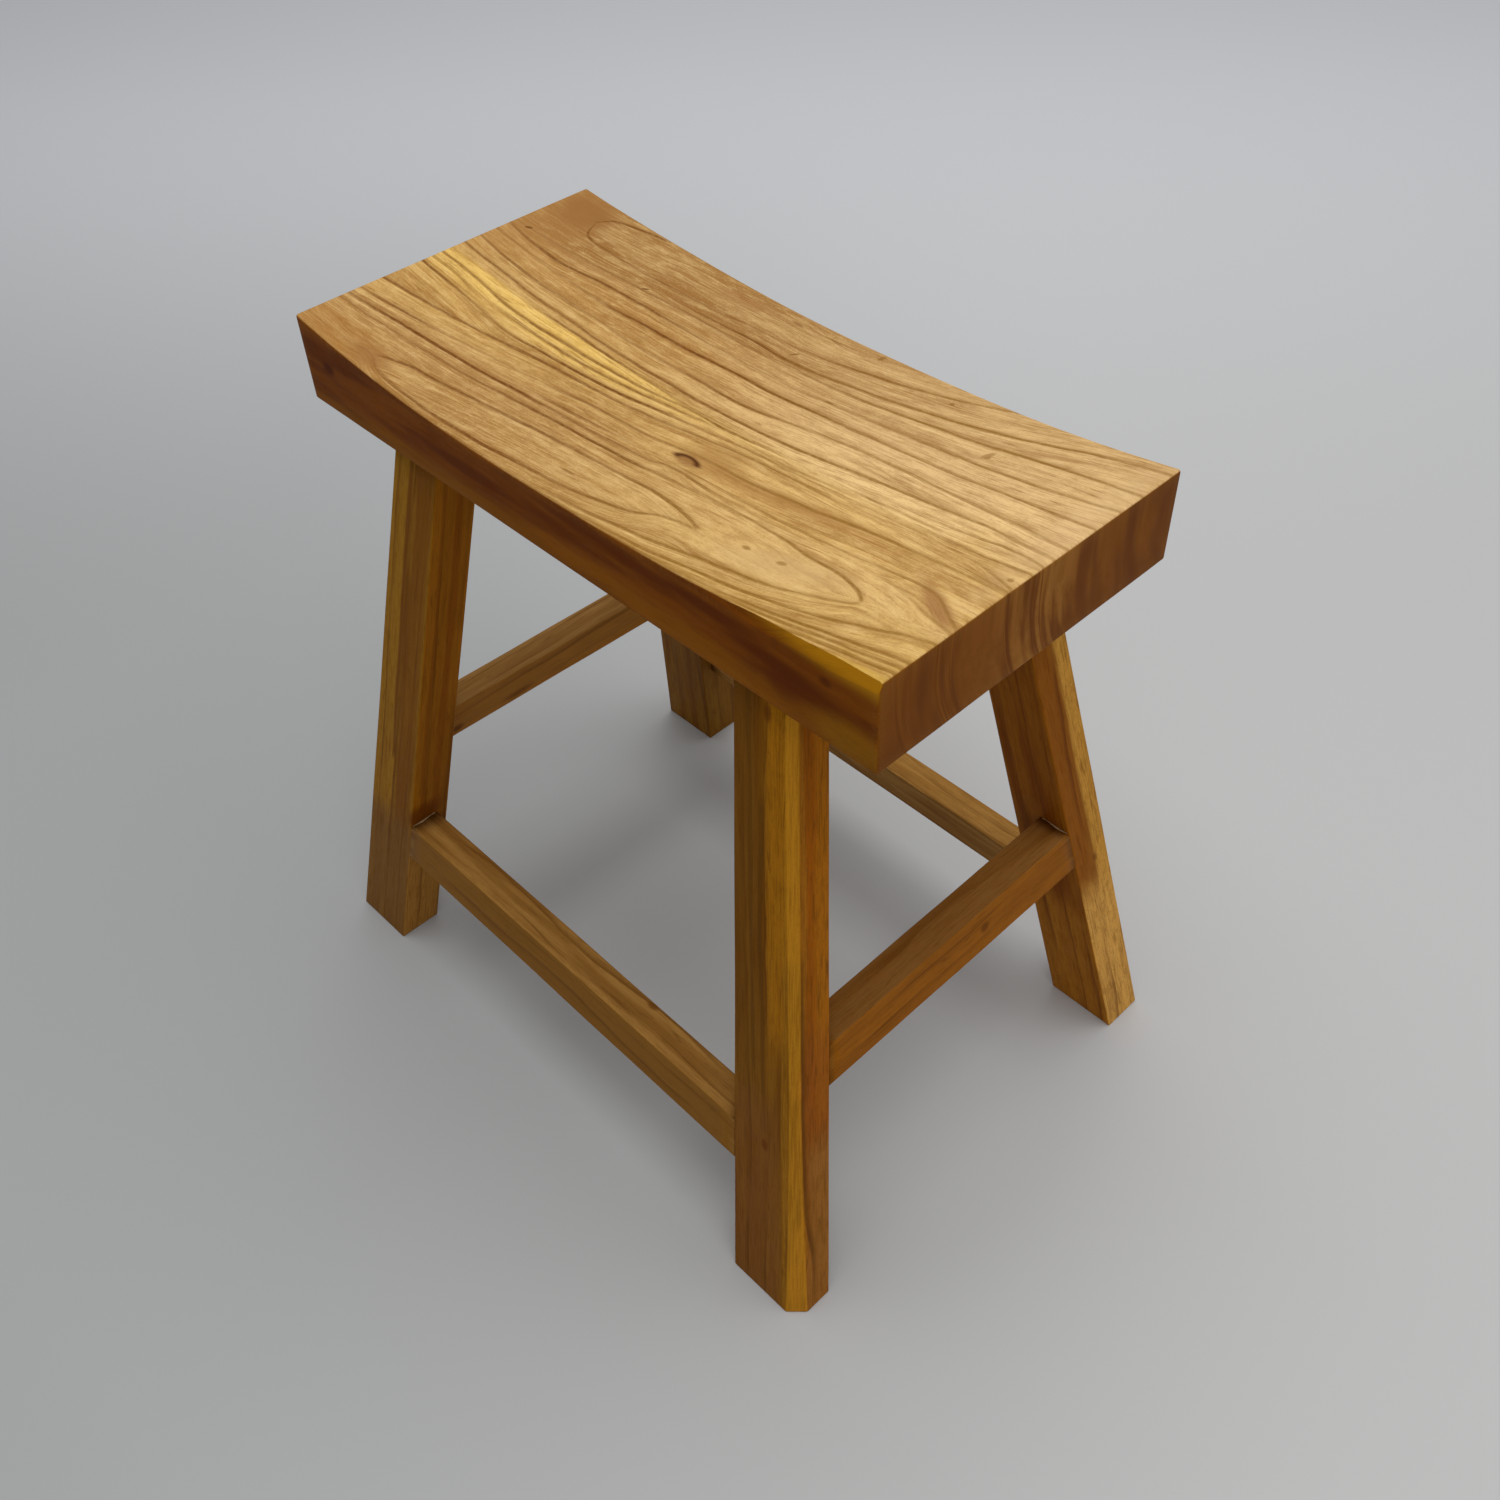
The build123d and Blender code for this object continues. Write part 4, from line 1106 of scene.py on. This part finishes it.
def make_floor(finish):
    """Makes the floor, with painted shade darker at the front left and painted light paler far behind."""
    bm = bmesh.new()
    bmesh.ops.create_grid(bm, x_segments=8, y_segments=8, size=FLOOR_HALF)
    material, build, shader = new_material("floor_paint")
    x, y = build.split(build.node("ShaderNodeTexCoord").outputs["Object"])[:2]
    # Painted shade towards the front left and painted light far behind, on a floor of one colour
    beside = build.spread(build.plus(x, y), -0.7, 0.5)
    behind = build.spread(build.minus(y, x), 0.4, 2.2)
    colour = build.mix(beside, (0.42, 0.43, 0.43), finish.floor_colour)
    colour = build.mix(behind, colour, (0.74, 0.75, 0.77))
    build.feed(shader.inputs["Base Color"], colour)
    shader.inputs["Roughness"].default_value = 0.6
    floor = put_mesh("studio_floor", bm, material)


class BenchShape(bpy.types.PropertyGroup):
    """Sizes that shape the visible pieces."""

    dip_depth: bpy.props.FloatProperty(
        name="Hollow depth", description="How deep the seat is hollowed", default=14.5 * MM,
        min=0.0, subtype="DISTANCE", unit="LENGTH",
    )
    seat_ease: bpy.props.FloatProperty(
        name="Seat edge", description="Rounding of the seat's edges", default=1.7 * MM,
        min=0.0, subtype="DISTANCE", unit="LENGTH",
    )
    stock_ease: bpy.props.FloatProperty(
        name="Leg and rail edge", description="Rounding of the long edges of legs and rails",
        default=1.0 * MM, min=0.0, subtype="DISTANCE", unit="LENGTH",
    )
    foot_ease: bpy.props.FloatProperty(
        name="Foot edge", description="Rounding around each sole", default=0.8 * MM,
        min=0.0, subtype="DISTANCE", unit="LENGTH",
    )
    putty_width: bpy.props.FloatProperty(
        name="Putty line", description="Width of the pale putty line at a joint", default=1.1 * MM,
        min=0.0, subtype="DISTANCE", unit="LENGTH",
    )


class BenchFinish(bpy.types.PropertyGroup):
    """Colours and gloss."""

    line_colour: bpy.props.FloatVectorProperty(
        name="Ring lines at the left", description="Colour of the dark growth lines at the seat's left",
        default=(0.150, 0.047, 0.006), subtype="COLOR", min=0.0, max=1.0,
    )
    right_line_colour: bpy.props.FloatVectorProperty(
        name="Ring lines at the right", description="Colour of the growth lines at the seat's right",
        default=(0.245, 0.115, 0.014), subtype="COLOR", min=0.0, max=1.0,
    )
    late_colour: bpy.props.FloatVectorProperty(
        name="Late wood", description="Brown beside a growth line", default=(0.29, 0.127, 0.028),
        subtype="COLOR", min=0.0, max=1.0,
    )
    putty_colour: bpy.props.FloatVectorProperty(
        name="Putty", description="Colour of the putty in a joint", default=(0.48, 0.33, 0.18),
        subtype="COLOR", min=0.0, max=1.0,
    )
    floor_colour: bpy.props.FloatVectorProperty(
        name="Floor", description="Colour of the studio floor", default=(0.57, 0.57, 0.565),
        subtype="COLOR", min=0.0, max=1.0,
    )
    roughness: bpy.props.FloatProperty(
        name="Lacquer roughness", description="How satin the lacquer is", default=0.42,
        min=0.05, max=1.0, subtype="FACTOR",
    )


class BENCH_OT_effects(bpy.types.Operator):
    """Build the shared wood effects that the materials use"""

    bl_idname = "bench.effects"
    bl_label = "Build wood effects"

    def execute(self, context):
        build_fibre_group()
        build_rings_group()
        build_spot_group()
        build_stripe_group()
        build_seat_lines_group()
        return {"FINISHED"}


class BENCH_OT_seat(bpy.types.Operator):
    """Make the hollowed seat plank"""

    bl_idname = "bench.seat"
    bl_label = "Make seat"

    def execute(self, context):
        make_seat(context.scene.bench_shape, context.scene.bench_finish)
        return {"FINISHED"}


class BENCH_OT_legs(bpy.types.Operator):
    """Make the four splayed, tapered legs"""

    bl_idname = "bench.legs"
    bl_label = "Make legs"

    def execute(self, context):
        for number, leg in enumerate(LEGS):
            make_leg(leg, number, context.scene.bench_shape, context.scene.bench_finish)
        return {"FINISHED"}


class BENCH_OT_rails(bpy.types.Operator):
    """Make the two long rails and the two end rails"""

    bl_idname = "bench.rails"
    bl_label = "Make rails"

    def execute(self, context):
        for number, rail in enumerate(RAILS):
            make_rail(rail, number, context.scene.bench_shape, context.scene.bench_finish)
        return {"FINISHED"}


class BENCH_OT_putty(bpy.types.Operator):
    """Make the pale putty lines at two of the joints"""

    bl_idname = "bench.putty"
    bl_label = "Make putty lines"

    def execute(self, context):
        material = make_putty_material(context.scene.bench_finish)
        for name in PUTTY:
            make_putty_line(name, context.scene.bench_shape, material)
        return {"FINISHED"}


class BENCH_OT_stage(bpy.types.Operator):
    """Make the floor, the lights and the camera"""

    bl_idname = "bench.stage"
    bl_label = "Set the stage"

    def execute(self, context):
        scene = context.scene
        make_floor(scene.bench_finish)

        world = bpy.data.worlds.new("studio_air")
        world.use_nodes = True
        background = world.node_tree.nodes["Background"]
        background.inputs["Color"].default_value = AIR_COLOUR
        background.inputs["Strength"].default_value = AIR_STRENGTH
        scene.world = world

        for name, (place, turn, size, power) in LIGHTS.items():
            light = bpy.data.lights.new(name, "AREA")
            light.shape = "SQUARE"
            light.size = size
            light.energy = power
            put(name, light, place, turn)

        camera = bpy.data.cameras.new("camera")
        camera.lens = CAMERA_LENS
        camera.sensor_width = CAMERA_SENSOR
        scene.camera = put("camera", camera, CAMERA_PLACE, [math.radians(turn) for turn in CAMERA_TURN])
        scene.view_settings.view_transform = "Standard"
        return {"FINISHED"}


class BENCH_PT_panel(bpy.types.Panel):
    """Lists the sizes, the finish and the steps that make the bench"""

    bl_idname = "BENCH_PT_panel"
    bl_label = "Wooden bench"
    bl_space_type = "VIEW_3D"
    bl_region_type = "UI"
    bl_category = "Bench"

    def draw(self, context):
        layout = self.layout
        for group in (context.scene.bench_shape, context.scene.bench_finish):
            box = layout.box()
            for name in group.__annotations__:
                box.prop(group, name)
        for step in STEPS:
            layout.operator(step.bl_idname)


STEPS = (BENCH_OT_effects, BENCH_OT_stage, BENCH_OT_seat, BENCH_OT_legs, BENCH_OT_rails, BENCH_OT_putty)
CLASSES = (BenchShape, BenchFinish) + STEPS + (BENCH_PT_panel,)


def register():
    for kind in CLASSES:
        bpy.utils.register_class(kind)
    bpy.types.Scene.bench_shape = bpy.props.PointerProperty(type=BenchShape)
    bpy.types.Scene.bench_finish = bpy.props.PointerProperty(type=BenchFinish)


def unregister():
    del bpy.types.Scene.bench_finish
    del bpy.types.Scene.bench_shape
    for kind in reversed(CLASSES):
        bpy.utils.unregister_class(kind)


def main():
    register()
    bpy.ops.bench.effects()
    bpy.ops.bench.stage()
    bpy.ops.bench.seat()
    bpy.ops.bench.legs()
    bpy.ops.bench.rails()
    bpy.ops.bench.putty()


if __name__ == "__main__":
    main()
